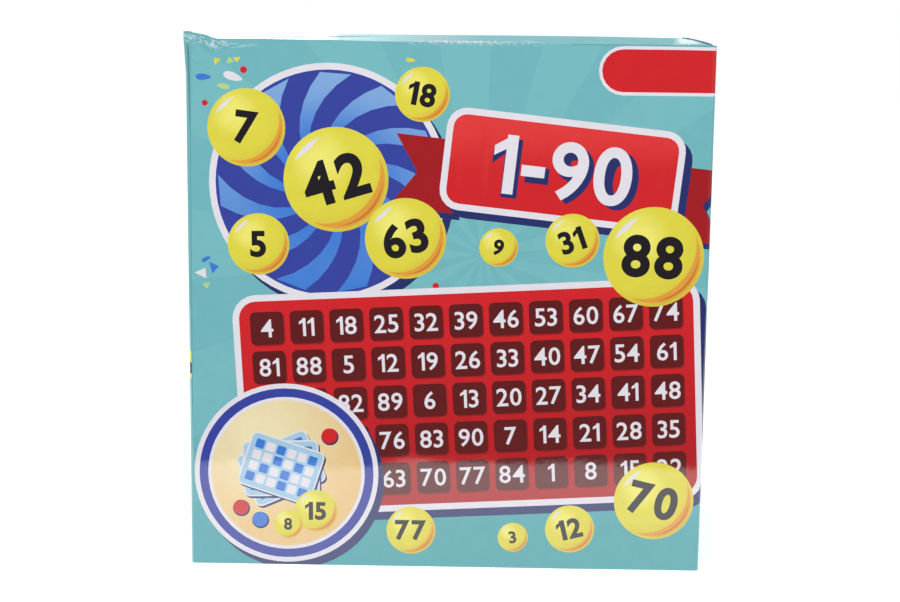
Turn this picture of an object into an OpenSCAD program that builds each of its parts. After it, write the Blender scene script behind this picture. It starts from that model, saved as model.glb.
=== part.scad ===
// Boxed bingo set: a printed tuck-top carton that holds the number machine and its cards.
// Millimetres. Origin at the bottom centre of the carton, +Z up, printed front towards -Y.

/* [Carton] */
// Outer width of the carton, left to right
carton_w = 270; // [262:1:290]
// Outer depth of the carton, front to back
carton_d = 160; // [158:1:180]
// Outer height of the carton
carton_h = 276; // [272:1:300]
// Thickness of the laminated fluted board
board_t = 1.5; // [1.2:0.1:1.8]
// Outer radius of the upright corner creases
crease_r = 2.4; // [2:0.1:4]
// Width of the strip that is glued inside the back panel
glue_w = 22; // [15:1:30]

/* [Lid and flaps] */
// Length of the tongue that tucks in behind the front panel
tongue_len = 28; // [20:1:29]
// Inward lean of the tongue, in degrees
tongue_lean = 4; // [4:0.5:6]
// Gap between the tongue and the front panel
tuck_gap = 1; // [0.8:0.1:1.5]
// Corner radius of the tongue
tongue_r = 14; // [8:1:16]
// Reach of each dust flap from its crease
flap_len = 70; // [50:1:80]
// Distance from the lid's hinge line at which the dust flaps reach their full length
flap_taper = 46; // [44:1:60]

/* [Number board] */
// Gap from each side of the number board to the carton's side panel
tray_side_gap = 7.5; // [5:0.5:9]
// Gap from the number board, which stands upright in the carton, to the dust flaps
tray_top_gap = 24.2; // [18:0.1:28]
// Height of the number board
tray_h = 20; // [18:1:22]
// Thickness of the board's side walls
tray_wall = 2; // [1.6:0.1:3]
// Thickness of the board's deck
deck_t = 5; // [4.6:0.1:6]
// Corner radius of the board
tray_r = 12; // [6:1:16]
// Radius of one ball pit
pit_r = 6.3; // [6.1:0.1:6.6]
// Depth of one ball pit
pit_depth = 3.6; // [2:0.1:3.8]
// Rows of ball pits
pit_rows = 9; // [6:1:9]
// Columns of ball pits on each side of the chute
pit_cols = 5; // [3:1:5]

/* [Ball cage] */
// Outer radius of the ball cage
cage_r = 50; // [48:1:50]
// Radial thickness of the cage's slats
slat_t = 2.6; // [2:0.1:3]
// Width of one slat
slat_w = 7.5; // [7.4:0.1:9]
// Slats on each half of the cage
slat_count = 16; // [16:1:18]
// Lean of the slats, in degrees
slat_lean = 18; // [12:1:22]
// Gap from the cage's rim to the lip of the chute
cage_gap = 7; // [5:0.5:8]
// Distance of the cage's axle from the board's rear edge
axle_inset = 49; // [47:1:54]
// Radius of the two stub axles
axle_r = 4; // [3:0.1:5]

/* [Crank] */
// Distance from the axle to the knob
crank_len = 30; // [24:1:34]
// Radius of the knob
knob_r = 9; // [7:0.5:10]
// Length of the knob
knob_len = 24; // [18:1:28]
// Radius of the pin that the knob turns on
pin_r = 2.5; // [2:0.1:3]

/* [Balls and cards] */
// Radius of one ball
ball_r = 5.75; // [5.5:0.05:5.8]
// Number of balls
ball_count = 90; // [30:1:90]
// Width of one card
card_w = 190; // [150:1:220]
// Height of one card
card_h = 150; // [120:1:180]
// Thickness of one card
card_t = 0.5; // [0.3:0.05:0.5]
// Number of cards in the stack
card_count = 22; // [8:1:22]
// Radius of one marker chip
chip_r = 7; // [5:0.5:8]
// Thickness of one marker chip
chip_t = 1.2; // [0.8:0.1:1.4]
// Chips in each row
chip_count = 24; // [10:1:38]

/* [Hidden] */

// Facets asked for on round forms, and the overrun of every cut
round_fn = 48;
overrun = 1;

// Clearances
lid_gap = 0.3;       // between the dust flaps and the closed lid
hinge_gap = 1;       // from a hinge line to the panel that swings on it
lid_side_gap = 0.5;  // from the lid's side edge to the carton's outer side
press_gap = 0.05;    // radial, for pieces pressed together
run_gap = 0.1;       // radial, for pieces that turn
lay_gap = 0.3;       // between a loose piece and what it lies against
sheet_gap = 0.05;    // between stacked cards or chips

// Carton: derived places
half_w = carton_w / 2;
half_d = carton_d / 2;
inner_x = half_w - board_t;
inner_y = half_d - board_t;
floor_z = 3 * board_t;
lid_z = carton_h - board_t;
flap_z = lid_z - lid_gap - board_t;
crease_in_r = crease_r - board_t;
// The lid turns about the back panel's outer face, at the lid's underside
lid_front_y = -inner_y + tuck_gap;
lid_back_y = half_d - hinge_gap;
tongue_w = 2 * inner_x - 4 * board_t;
// Dust flaps: set back from the tongue at the front, and from the lid's hinge at the back
flap_front_y = lid_front_y + board_t + 4 * board_t;
flap_back_y = inner_y - 3 * board_t;
flap_draft_share = 0.09;
// Glue strip
glue_end_cut = glue_w / 2;
// Share of the carton's depth that the inner long bottom flap covers
major_overlap_share = 0.8;

// Number board, drawn lying flat and then stood up against the back panel
board_y = inner_y - board_t;
tray_w = 2 * (inner_x - tray_side_gap);
tray_d = flap_z - floor_z - tray_top_gap;
rib_shares_x = [-0.4, -0.3, -0.2, -0.1, 0.1, 0.2, 0.3, 0.4];
rib_shares_d = [0.1, 0.2, 0.3, 0.4, 0.5, 0.6, 0.7, 0.8, 0.9];
deck_z = tray_h - deck_t;
chute_w = 18;
chute_wall = 1.6;
chute_slot_gap = 0.3;
chute_front_d = 14;
chute_past_axle = 11;
chute_lip_w = 3;
chute_lip_t = 1.5;
chute_ball_gap = 1;
chute_channel_r = ball_r + chute_ball_gap;
chute_high = 15.4;
chute_low = 10;

// Uprights
upright_cage_gap = 8;
upright_t = 5;
upright_x = cage_r + upright_cage_gap;
foot_len = 64;
foot_out = 4;
foot_t = 2.5;
bearing_wall = 5;
bearing_r = axle_r + bearing_wall;
upright_top_w = 13;
window_r = 9;
peg_r = 2.4;
peg_len = 4;
peg_spread_share = 0.34;

// Axle of the cage: over the chute's lip, and set in from the board's rear edge
rim_t = 4;
rim_out = 1.5;
axle_h = tray_h + chute_lip_t + cage_gap + cage_r + rim_out;
axle_d = tray_d - axle_inset;
chute_back_d = axle_d + chute_past_axle;

// Ball pits: on each side of the chute, up to a gap under the uprights' feet
pit_edge = 5;
pit_end_gap = 26.7;
pit_span_x = tray_w / 2 - pit_edge - chute_w / 2 - chute_lip_w - tray_wall;
pit_step_x = pit_span_x / pit_cols;
pit_first_x = chute_w / 2 + chute_lip_w + pit_step_x / 2;
pit_step_d = (axle_d - foot_len / 2 - pit_end_gap - pit_edge - tray_wall) / pit_rows;
pit_first_d = pit_edge + tray_wall + pit_step_d / 2;

// Cage
cage_in_r = cage_r - slat_t;
hub_r = 13;
hub_t = 5;
cap_share = 1.25;
outlet_ball_gap = 1;
outlet_r = ball_r + outlet_ball_gap;
outlet_wall = 2;
outlet_out = 7;
collar_wall = 4;
collar_r = axle_r + collar_wall;
collar_t = 2;

// Crank
arm_t = 5;
arm_gap = 3;
arm_x = upright_x + upright_t + arm_gap;
arm_hub_r = 9;
arm_end_r = 6.5;
arm_waist_share = 0.75;
arm_boss_t = 3;
knob_gap = 1;
knob_x = arm_x + arm_t + knob_gap;
pin_head_wall = 1.6;
pin_head_r = pin_r + pin_head_wall;
pin_head_t = 1.5;
knob_waist_share = 0.72;
pin_head_sink = 1;
knob_recess = pin_head_t + pin_head_sink;

// Balls: layers laid up from the bottom of the cage
ball_gap = 0.3;
ball_step = 2 * ball_r + ball_gap;
ball_lift_share = 0.8165;
ball_row_share = 0.8661;
ball_nest_share = 0.2887;
ball_layers = 9;
ball_reach = cage_in_r - ball_r - ball_gap;
ball_rows = 8;

// Cards, leaflet and chips
card_r = 5;
cards_y = -inner_y + lay_gap;
card_step = card_t + sheet_gap;
leaflet_w = 140;
leaflet_h = 100;
leaflet_t = 0.4;
leaflet_fold = 1.2;
leaflet_y = cards_y + card_count * card_step + lay_gap;
chip_rows = 2;
chip_side_gap = 58;
chip_leaflet_gap = 11.6;
chip_row_gap = 1;
chip_x = inner_x - chip_side_gap;
chip_y = leaflet_y + leaflet_fold + chip_leaflet_gap + chip_r;
chip_step = chip_t + sheet_gap;
chip_row_step = 2 * chip_r + chip_row_gap;

// Colours
print_aqua = "#74b6bd";
print_red = "#c4262b";
raw_board = "#c9c3b5";
abs_red = "#c8252a";
abs_black = "#1d1d20";
cage_blue = "#2f46a8";
ball_yellow = "#e6d43c";
card_blue = "#a8cfe6";
steel_grey = "#b9bcc0";
paper_white = "#f2f0ea";

// A flat sheet of board with round corners, drawn from its middle
module round_rect(w, d, r) {
    square([w - 2 * r, d], center = true);
    square([w, d - 2 * r], center = true);
    for (sx = [-1, 1], sy = [-1, 1])
        translate([sx * (w / 2 - r), sy * (d / 2 - r)]) circle(r, $fn = round_fn);
}

// Quarter turn of board at an upright crease, centred on the crease
module crease_quarter() {
    intersection() {
        difference() {
            circle(crease_r, $fn = round_fn);
            circle(crease_in_r, $fn = round_fn);
        }
        square(crease_r);
    }
}

// Plan of the front or back panel, which carries the two corner creases of its side
module wide_panel_plan() {
    translate([-half_w + crease_r, -half_d]) square([carton_w - 2 * crease_r, board_t]);
    for (side = [0, 1]) mirror([side, 0])
        translate([half_w - crease_r, -half_d + crease_r]) mirror([0, 1]) crease_quarter();
}

module front_panel() {
    color(print_red) linear_extrude(carton_h) wide_panel_plan();
}

module back_panel() {
    color(print_aqua) mirror([0, 1, 0]) linear_extrude(lid_z) wide_panel_plan();
}

// Side panel between the corner creases
module side_panel() {
    translate([inner_x, -half_d + crease_r, 0])
        cube([board_t, carton_d - 2 * crease_r, flap_z]);
}

module right_panel() {
    color(print_aqua) side_panel();
}

module left_panel() {
    color(print_aqua) mirror([1, 0, 0]) side_panel();
}

// Strip glued inside the back panel along the left corner, with slanted ends
module glue_flap() {
    top = flap_z - board_t;
    color(raw_board) translate([-half_w + crease_r, inner_y, 0]) rotate([90, 0, 0])
        linear_extrude(board_t) polygon([
            [0, floor_z], [glue_w, floor_z + glue_end_cut],
            [glue_w, top - glue_end_cut], [0, top]
        ]);
}

// Outline of a bottom flap from x low to high, its corners cut clear of the upright creases
module bottom_plan(low_x, low_y) {
    cut = crease_in_r;
    polygon([
        [low_x + cut, low_y], [inner_x - cut, low_y], [inner_x, low_y + cut],
        [inner_x, inner_y - cut], [inner_x - cut, inner_y], [low_x + cut, inner_y],
        [low_x, inner_y - cut], [low_x, low_y + cut]
    ]);
}

// Bottom: two long flaps under two short ones, all glued
module bottom_front_flap() {
    color(print_aqua) linear_extrude(board_t) bottom_plan(-inner_x, -inner_y);
}

module bottom_back_flap() {
    reach = 2 * inner_y * major_overlap_share;
    color(raw_board) translate([0, 0, board_t]) linear_extrude(board_t)
        bottom_plan(-inner_x, inner_y - reach);
}

module bottom_minor_flap() {
    tip_y = inner_y * (1 - 2 * flap_draft_share);
    translate([0, 0, 2 * board_t]) linear_extrude(board_t) intersection() {
        bottom_plan(inner_x - flap_len, -inner_y);
        polygon([
            [inner_x, -inner_y], [inner_x, inner_y],
            [inner_x - flap_len, tip_y], [inner_x - flap_len, -tip_y]
        ]);
    }
}

module bottom_right_flap() {
    color(raw_board) bottom_minor_flap();
}

module bottom_left_flap() {
    color(raw_board) mirror([1, 0, 0]) bottom_minor_flap();
}

// Lid plate from its hinge crease at the back to the tongue's crease at the front
module top_lid() {
    lid_half_w = half_w - lid_side_gap;
    color(print_aqua) translate([0, 0, lid_z]) linear_extrude(board_t) difference() {
        translate([-lid_half_w, lid_front_y]) square([2 * lid_half_w, lid_back_y - lid_front_y]);
        // The front corners are cut back to the tongue's width
        for (side = [-1, 1]) translate([side * lid_half_w, lid_front_y]) rotate(45)
            square(4 * board_t, center = true);
    }
}

// Tongue, hung from the lid's front edge and tucked in behind the front panel
module lid_tongue() {
    color(raw_board) difference() {
        translate([0, lid_front_y, lid_z]) rotate([90 + tongue_lean, 0, 0])
            translate([0, 0, -board_t]) linear_extrude(board_t) {
                translate([-tongue_w / 2, -tongue_len + tongue_r])
                    square([tongue_w, tongue_len - tongue_r]);
                translate([-tongue_w / 2 + tongue_r, -tongue_len])
                    square([tongue_w - 2 * tongue_r, tongue_len]);
                for (side = [-1, 1])
                    translate([side * (tongue_w / 2 - tongue_r), -tongue_len + tongue_r])
                        circle(tongue_r, $fn = round_fn);
            }
        // The leaning plate's top edge is cut level with the lid's underside
        translate([-half_w, -half_d, lid_z]) cube([carton_w, carton_d, board_t]);
    }
}

// Dust flap on the right: full width at its crease, cut back towards the lid's hinge
module dust_flap() {
    root_x = half_w - hinge_gap;
    tip_x = inner_x - flap_len;
    front_cut = (inner_y - flap_front_y) * flap_draft_share;
    translate([0, 0, flap_z]) linear_extrude(board_t) polygon([
        [root_x, flap_front_y], [root_x, flap_back_y],
        [tip_x, inner_y - flap_taper], [tip_x, flap_front_y + front_cut]
    ]);
}

module right_dust_flap() {
    color(raw_board) dust_flap();
}

module left_dust_flap() {
    color(raw_board) mirror([1, 0, 0]) dust_flap();
}

// Stands the machine on its edge: its foot faces the back panel and its rear end points up
module stand_up() {
    translate([0, board_y, floor_z]) rotate([90, 0, 0]) children();
}

// Moves a shape from its own origin to the cage's axle, with its own Z along X
module on_axle() {
    stand_up() translate([0, axle_d, axle_h]) rotate([0, 90, 0]) children();
}

// Places its children at every ball pit
module at_pits() {
    for (side = [-1, 1], col = [0 : pit_cols - 1], row = [0 : pit_rows - 1])
        translate([side * (pit_first_x + col * pit_step_x), pit_first_d + row * pit_step_d])
            children();
}

// Places its children at the two pegs of the upright on the right
module at_pegs() {
    for (end = [-1, 1])
        translate([upright_x + upright_t / 2, axle_d + end * foot_len * peg_spread_share])
            children();
}

// Number board: a moulded tray with a skirt, ribs under its deck, ball pits and a slot for the chute
module number_board() {
    color(abs_red) stand_up() difference() {
        translate([0, tray_d / 2]) linear_extrude(tray_h) round_rect(tray_w, tray_d, tray_r);
        difference() {
            translate([0, tray_d / 2, -overrun]) linear_extrude(deck_z + overrun)
                round_rect(tray_w - 2 * tray_wall, tray_d - 2 * tray_wall, tray_r - tray_wall);
            // Ribs between the bays under the deck
            for (share = rib_shares_x) translate([tray_w * share - tray_wall / 2, 0, -overrun])
                cube([tray_wall, tray_d, tray_h]);
            for (share = rib_shares_d) translate([-tray_w / 2, tray_d * share, -overrun])
                cube([tray_w, tray_wall, tray_h]);
        }
        translate([0, 0, tray_h - pit_depth]) linear_extrude(pit_depth + overrun)
            at_pits() circle(pit_r, $fn = round_fn);
        chute_slot();
        for (side = [0, 1]) mirror([side, 0, 0]) translate([0, 0, tray_h - peg_len])
            linear_extrude(peg_len + overrun) at_pegs() circle(peg_r + press_gap, $fn = round_fn);
    }
}

module chute_slot() {
    slot_w = chute_w + 2 * chute_slot_gap;
    translate([-slot_w / 2, chute_front_d - chute_slot_gap, -overrun])
        cube([slot_w, chute_back_d - chute_front_d + 2 * chute_slot_gap, tray_h + 2 * overrun]);
}

// Chute: an open trough that falls from under the cage to the front of the board
module ball_chute() {
    run = chute_back_d - chute_front_d;
    fall = chute_high - chute_low;
    color(abs_black) stand_up() difference() {
        union() {
            translate([-chute_w / 2, chute_front_d, chute_low - chute_channel_r - chute_wall])
                cube([chute_w, run, tray_h - chute_low + chute_channel_r + chute_wall]);
            translate([-chute_w / 2 - chute_lip_w, chute_front_d - chute_lip_w, tray_h])
                cube([chute_w + 2 * chute_lip_w, run + 2 * chute_lip_w, chute_lip_t]);
        }
        translate([0, chute_front_d + chute_wall + chute_channel_r, chute_low])
            rotate([atan(fall / run), 0, 0]) {
                rotate([-90, 0, 0]) cylinder(r = chute_channel_r,
                    h = run - 2 * (chute_wall + chute_channel_r), $fn = round_fn);
                sphere(chute_channel_r, $fn = round_fn);
                cylinder(r = chute_channel_r, h = tray_h, $fn = round_fn);
                translate([-chute_channel_r, 0, 0])
                    cube([2 * chute_channel_r, run - 2 * (chute_wall + chute_channel_r), tray_h]);
            }
    }
}

// Upright on the right: foot with pegs, a tapered web with a window, and the axle's bearing
module upright() {
    stand_up() {
        translate([upright_x, axle_d, 0]) rotate([90, 0, 90]) linear_extrude(upright_t)
            difference() {
                union() {
                    polygon([
                        [-foot_len / 2, tray_h], [foot_len / 2, tray_h],
                        [foot_len / 2, tray_h + foot_t], [upright_top_w / 2, axle_h],
                        [-upright_top_w / 2, axle_h], [-foot_len / 2, tray_h + foot_t]
                    ]);
                    translate([0, axle_h]) circle(bearing_r, $fn = round_fn);
                }
                translate([0, axle_h]) circle(axle_r + run_gap, $fn = round_fn);
                translate([0, tray_h + foot_t + foot_out + window_r])
                    circle(window_r, $fn = round_fn);
            }
        translate([upright_x - foot_out, axle_d - foot_len / 2, tray_h])
            cube([upright_t + 2 * foot_out, foot_len, foot_t]);
        translate([0, 0, tray_h - peg_len]) linear_extrude(peg_len)
            at_pegs() circle(peg_r, $fn = round_fn);
    }
}

module right_upright() {
    color(abs_black) upright();
}

module left_upright() {
    color(abs_black) mirror([1, 0, 0]) upright();
}

// Half of the cage, drawn on its axle with its pole along +Z and its rim at zero
module cage_half() {
    difference() {
        union() {
            intersection() {
                sphere(cage_r, $fn = round_fn);
                cylinder(r = cage_r + overrun, h = cage_r + overrun, $fn = round_fn);
                union() {
                    for (i = [0 : slat_count - 1]) rotate([0, 0, i * 360 / slat_count])
                        rotate([slat_lean, 0, 0]) translate([0, -slat_w / 2, -slat_w])
                            cube([cage_r + overrun, slat_w, cage_r + slat_w + overrun]);
                    // Closed cap that the slats run into
                    cylinder(r = cage_r * sin(slat_lean) * cap_share, h = cage_r + overrun,
                        $fn = round_fn);
                }
            }
            // Rim where the two halves meet
            cylinder(r = cage_r + rim_out, h = rim_t, $fn = round_fn);
            // Hub round the axle
            translate([0, 0, cage_r - hub_t]) cylinder(r = hub_r, h = hub_t, $fn = round_fn);
        }
        sphere(cage_in_r, $fn = round_fn);
        cylinder(r = axle_r + press_gap, h = cage_r + overrun, $fn = round_fn);
        rotate([0, -90, 0])
            cylinder(r = outlet_r + outlet_wall + press_gap, h = cage_r + rim_out + overrun,
                $fn = round_fn);
    }
}

module cage_right_half() {
    color(cage_blue) on_axle() rotate([0, 0, -90]) cage_half();
}

// The same moulding, turned end for end about the outlet
module cage_left_half() {
    color(cage_blue) on_axle() rotate([0, 0, -90]) rotate([180, 0, 0]) cage_half();
}

// Collar round the hole that lets one ball out at a time
module ball_outlet() {
    color(abs_black) on_axle() rotate([0, 0, -90]) rotate([0, -90, 0])
        translate([0, 0, cage_in_r]) difference() {
            cylinder(r = outlet_r + outlet_wall, h = slat_t + outlet_out, $fn = round_fn);
            translate([0, 0, -overrun])
                cylinder(r = outlet_r, h = slat_t + outlet_out + 2 * overrun, $fn = round_fn);
        }
}

// Stub axle with a collar that meets the cage's hub, drawn along +Z from the hub's inner face
module stub_axle(len) {
    translate([0, 0, cage_r - hub_t]) cylinder(r = axle_r, h = len, $fn = round_fn);
    translate([0, 0, cage_r]) cylinder(r = collar_r, h = collar_t, $fn = round_fn);
}

module right_axle() {
    color(steel_grey) on_axle() stub_axle(arm_x + arm_t + arm_boss_t - cage_r + hub_t);
}

module left_axle() {
    color(steel_grey) on_axle() mirror([0, 0, 1])
        stub_axle(upright_x + upright_t + arm_gap - cage_r + hub_t);
}

// Crank arm: two bosses joined by a waisted bar
module crank_arm() {
    color(abs_black) on_axle() rotate([0, 0, -90]) translate([0, 0, arm_x]) difference() {
        union() {
            linear_extrude(arm_t) {
                circle(arm_hub_r, $fn = round_fn);
                translate([crank_len, 0]) circle(arm_end_r, $fn = round_fn);
                polygon([
                    [0, -arm_hub_r * arm_waist_share], [crank_len, -arm_end_r * arm_waist_share],
                    [crank_len, arm_end_r * arm_waist_share], [0, arm_hub_r * arm_waist_share]
                ]);
            }
            cylinder(r = collar_r, h = arm_t + arm_boss_t, $fn = round_fn);
        }
        translate([0, 0, -overrun])
            cylinder(r = axle_r + press_gap, h = arm_t + arm_boss_t + 2 * overrun, $fn = round_fn);
        translate([crank_len, 0, -overrun])
            cylinder(r = pin_r + press_gap, h = arm_t + 2 * overrun, $fn = round_fn);
    }
}

// Pin through the arm, with a head that holds the knob
module knob_pin() {
    reach = knob_x - arm_x + knob_len - knob_recess;
    color(steel_grey) on_axle() rotate([0, 0, -90]) translate([crank_len, 0, arm_x]) {
        cylinder(r = pin_r, h = reach + knob_gap, $fn = round_fn);
        translate([0, 0, reach + run_gap]) cylinder(r = pin_head_r, h = pin_head_t, $fn = round_fn);
    }
}

// Knob: a waisted grip that turns on its pin
module crank_knob() {
    color(ball_yellow) on_axle() rotate([0, 0, -90]) translate([crank_len, 0, knob_x]) difference() {
        union() {
            cylinder(r1 = knob_r * knob_waist_share, r2 = knob_r, h = knob_len - knob_r,
                $fn = round_fn);
            translate([0, 0, knob_len - knob_r]) intersection() {
                sphere(knob_r, $fn = round_fn);
                cylinder(r = knob_r, h = knob_r, $fn = round_fn);
            }
        }
        translate([0, 0, -overrun])
            cylinder(r = pin_r + run_gap, h = knob_len + 2 * overrun, $fn = round_fn);
        translate([0, 0, knob_len - knob_recess])
            cylinder(r = pin_head_r + lay_gap, h = knob_recess + overrun, $fn = round_fn);
    }
}

// Centres of the balls in one layer, whose odd layers and rows are shifted into the hollows
function layer_centres(k) = let (
        z = -ball_reach + k * ball_step * ball_lift_share,
        room = ball_reach * ball_reach - z * z,
        shift = (k % 2) * ball_step / 2
    ) [
        for (i = [-ball_rows : ball_rows], j = [-ball_rows : ball_rows])
            let (
                x = (i + (abs(j) % 2) / 2) * ball_step + shift,
                y = (j * ball_row_share + (k % 2) * ball_nest_share) * ball_step
            )
            if (x * x + y * y <= room) [x, y, z]
    ];

ball_centres = [for (k = [0 : ball_layers - 1]) each layer_centres(k)];

// Balls lying at the bottom of the cage
module number_balls() {
    centre_z = floor_z + axle_d;
    color(ball_yellow) translate([0, board_y - axle_h, centre_z])
        for (i = [0 : min(ball_count, len(ball_centres)) - 1])
            translate(ball_centres[i]) sphere(ball_r, $fn = round_fn);
}

// Cards standing in a stack behind the front panel
module bingo_cards() {
    color(card_blue) for (i = [0 : card_count - 1])
        translate([0, cards_y + card_t + i * card_step, floor_z + card_h / 2]) rotate([90, 0, 0])
            linear_extrude(card_t) round_rect(card_w, card_h, card_r);
}

// Leaflet folded once, behind the cards
module rules_leaflet() {
    color(paper_white) translate([-leaflet_w / 2, leaflet_y, floor_z]) difference() {
        cube([leaflet_w, leaflet_fold, leaflet_h]);
        translate([-overrun, leaflet_t, -overrun])
            cube([leaflet_w + 2 * overrun, leaflet_fold - 2 * leaflet_t, leaflet_h - leaflet_t + overrun]);
    }
}

// Marker chips lying in rows on the bottom of the carton
module marker_chips() {
    color(abs_red) for (row = [0 : chip_rows - 1], i = [0 : chip_count - 1])
        translate([chip_x + i * chip_step, chip_y + row * chip_row_step, floor_z + chip_r])
            rotate([0, 90, 0]) cylinder(r = chip_r, h = chip_t, $fn = round_fn);
}

front_panel();
back_panel();
left_panel();
right_panel();
glue_flap();
bottom_front_flap();
bottom_back_flap();
bottom_left_flap();
bottom_right_flap();
top_lid();
lid_tongue();
left_dust_flap();
right_dust_flap();
number_board();
ball_chute();
left_upright();
right_upright();
cage_left_half();
cage_right_half();
ball_outlet();
left_axle();
right_axle();
crank_arm();
knob_pin();
crank_knob();
number_balls();
bingo_cards();
rules_leaflet();
marker_chips();
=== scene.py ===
"""Dresses a boxed bingo set: its printed fluted carton, opening lid and flaps, and the game inside.

All shapes are worked out in millimetres from the frame's own boxes and turned to metres when a
mesh is made. The print is drawn here as flat shapes in painter's order.
"""

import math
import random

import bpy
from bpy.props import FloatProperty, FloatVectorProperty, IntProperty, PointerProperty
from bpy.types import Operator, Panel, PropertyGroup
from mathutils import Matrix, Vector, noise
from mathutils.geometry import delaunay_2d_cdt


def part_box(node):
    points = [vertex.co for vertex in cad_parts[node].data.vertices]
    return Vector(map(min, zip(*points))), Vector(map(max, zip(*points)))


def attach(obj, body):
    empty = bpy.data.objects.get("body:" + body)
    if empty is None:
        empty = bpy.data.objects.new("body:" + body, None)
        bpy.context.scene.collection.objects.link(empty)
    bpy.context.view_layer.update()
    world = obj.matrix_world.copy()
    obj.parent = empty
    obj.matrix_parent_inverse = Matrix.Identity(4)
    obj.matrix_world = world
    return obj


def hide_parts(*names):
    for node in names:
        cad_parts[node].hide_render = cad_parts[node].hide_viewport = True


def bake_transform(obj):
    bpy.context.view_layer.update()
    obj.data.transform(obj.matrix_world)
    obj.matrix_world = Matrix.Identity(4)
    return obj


bl_info = {
    "name": "Boxed Bingo Set",
    "version": (1, 0, 0),
    "blender": (4, 5, 0),
    "location": "View3D > Sidebar > Boxed Set",
    "description": "Builds the printed carton of a bingo set, with the game packed inside it",
    "category": "Object",
}

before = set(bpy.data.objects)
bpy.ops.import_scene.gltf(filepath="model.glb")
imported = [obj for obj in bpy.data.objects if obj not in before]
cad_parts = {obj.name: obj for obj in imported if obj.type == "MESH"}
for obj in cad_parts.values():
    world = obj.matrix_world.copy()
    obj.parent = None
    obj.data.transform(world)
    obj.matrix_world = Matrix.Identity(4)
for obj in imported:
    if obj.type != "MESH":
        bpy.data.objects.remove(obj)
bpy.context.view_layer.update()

MM = 0.001
UP = Vector((0, 0, 1))


def box_mm(node):
    """Lowest and highest corner of a CAD node in millimetres."""
    low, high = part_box(node)
    return Vector(low) / MM, Vector(high) / MM


# Sizes of the carton, read from the frame
FRONT_LOW, FRONT_HIGH = box_mm("front_panel")
BACK_HIGH = box_mm("back_panel")[1]
LID_LOW, LID_HIGH = box_mm("top_lid")
TONGUE_LOW, TONGUE_HIGH = box_mm("lid_tongue")
FLAP_LOW, FLAP_HIGH = box_mm("right_dust_flap")
SIDE_LOW, SIDE_HIGH = box_mm("right_panel")
HALF_W = (FRONT_HIGH.x - FRONT_LOW.x) / 2
HALF_D = (BACK_HIGH.y - FRONT_LOW.y) / 2
HEIGHT = FRONT_HIGH.z
HINGE_Y = BACK_HIGH.y
BOARD_T = LID_HIGH.z - LID_LOW.z
# The front panel is flat but for the upright creases at its ends, so its depth is their radius
CREASE_R = FRONT_HIGH.y - FRONT_LOW.y
CREASE_ARC = CREASE_R * math.pi / 2
# Half the width of a wide wall without its creases, and unrolled with them
FLAT_HALF = HALF_W - CREASE_R
UNROLLED_HALF = FLAT_HALF + CREASE_ARC
# How far below the carton's top the skin of the lid's crease begins on the back wall
CREASE_DROP = 5.0
# Where the side walls' board ends and the skin of the dust flaps' creases begins
SIDE_TOP = SIDE_HIGH.z - 4
# How far the board of the lid and of each dust flap stays clear of its crease
CREASE_CLEAR = 6.0
# Stretch of the front's top edge, and of the lid beside it, where film and ink have worn off
WORN_LOW, WORN_HIGH = -24, 50
# Spacing of the extra points where the board is crushed or worn
WORN_STEP = 1.1
BALL_R = 5.75

# Inks of the print, and of the painted shade at the walls' foot, at folds and along edges, as sRGB hex
INK = {
    "aqua": "#6fb2b9", "aqua_light": "#74b7bd", "aqua_foot_shade": "#4ea3aa", "aqua_edge_shade": "#2f8a90",
    "aqua_fold_print_and_shade": "#5c9fa7", "banner_glow": "#dd3a3a",
    "red": "#cd2228", "red_deep": "#a01a20", "maroon": "#5f1a1b",
    "white": "#dedbe3", "cream": "#e9dfb4",
    "yellow": "#dad144", "yellow_light": "#ebe571", "yellow_low": "#d2bc3e",
    "orange": "#dd9a3c", "orange_deep": "#c47a2c",
    "blue": "#36429c", "blue_bright": "#3c79d0", "blue_pale": "#a3c6de", "navy": "#27306a",
    "leaf": "#b3cf84", "black": "#211e24", "crack": "#b5d3d8",
    "bare_paper": "#c9c4b8",
}


def linear(hex_colour):
    """Linear red, green and blue of an sRGB hex colour."""
    parts = [int(hex_colour[i:i + 2], 16) / 255 for i in (1, 3, 5)]
    return tuple(c / 12.92 if c <= 0.04045 else ((c + 0.055) / 1.055) ** 2.4 for c in parts)


def rgba(hex_colour):
    """Linear colour of an sRGB hex colour, with full alpha."""
    return (*linear(hex_colour), 1.0)


def mix(a, b, share):
    """Blend of two colours or points, all a at share 0 and all b at share 1."""
    return tuple(p + (q - p) * share for p, q in zip(a, b))


def smooth(low, high, value):
    """Smooth step from 0 at low to 1 at high."""
    t = min(max((value - low) / (high - low), 0.0), 1.0)
    return t * t * (3 - 2 * t)


# Properties


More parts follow.
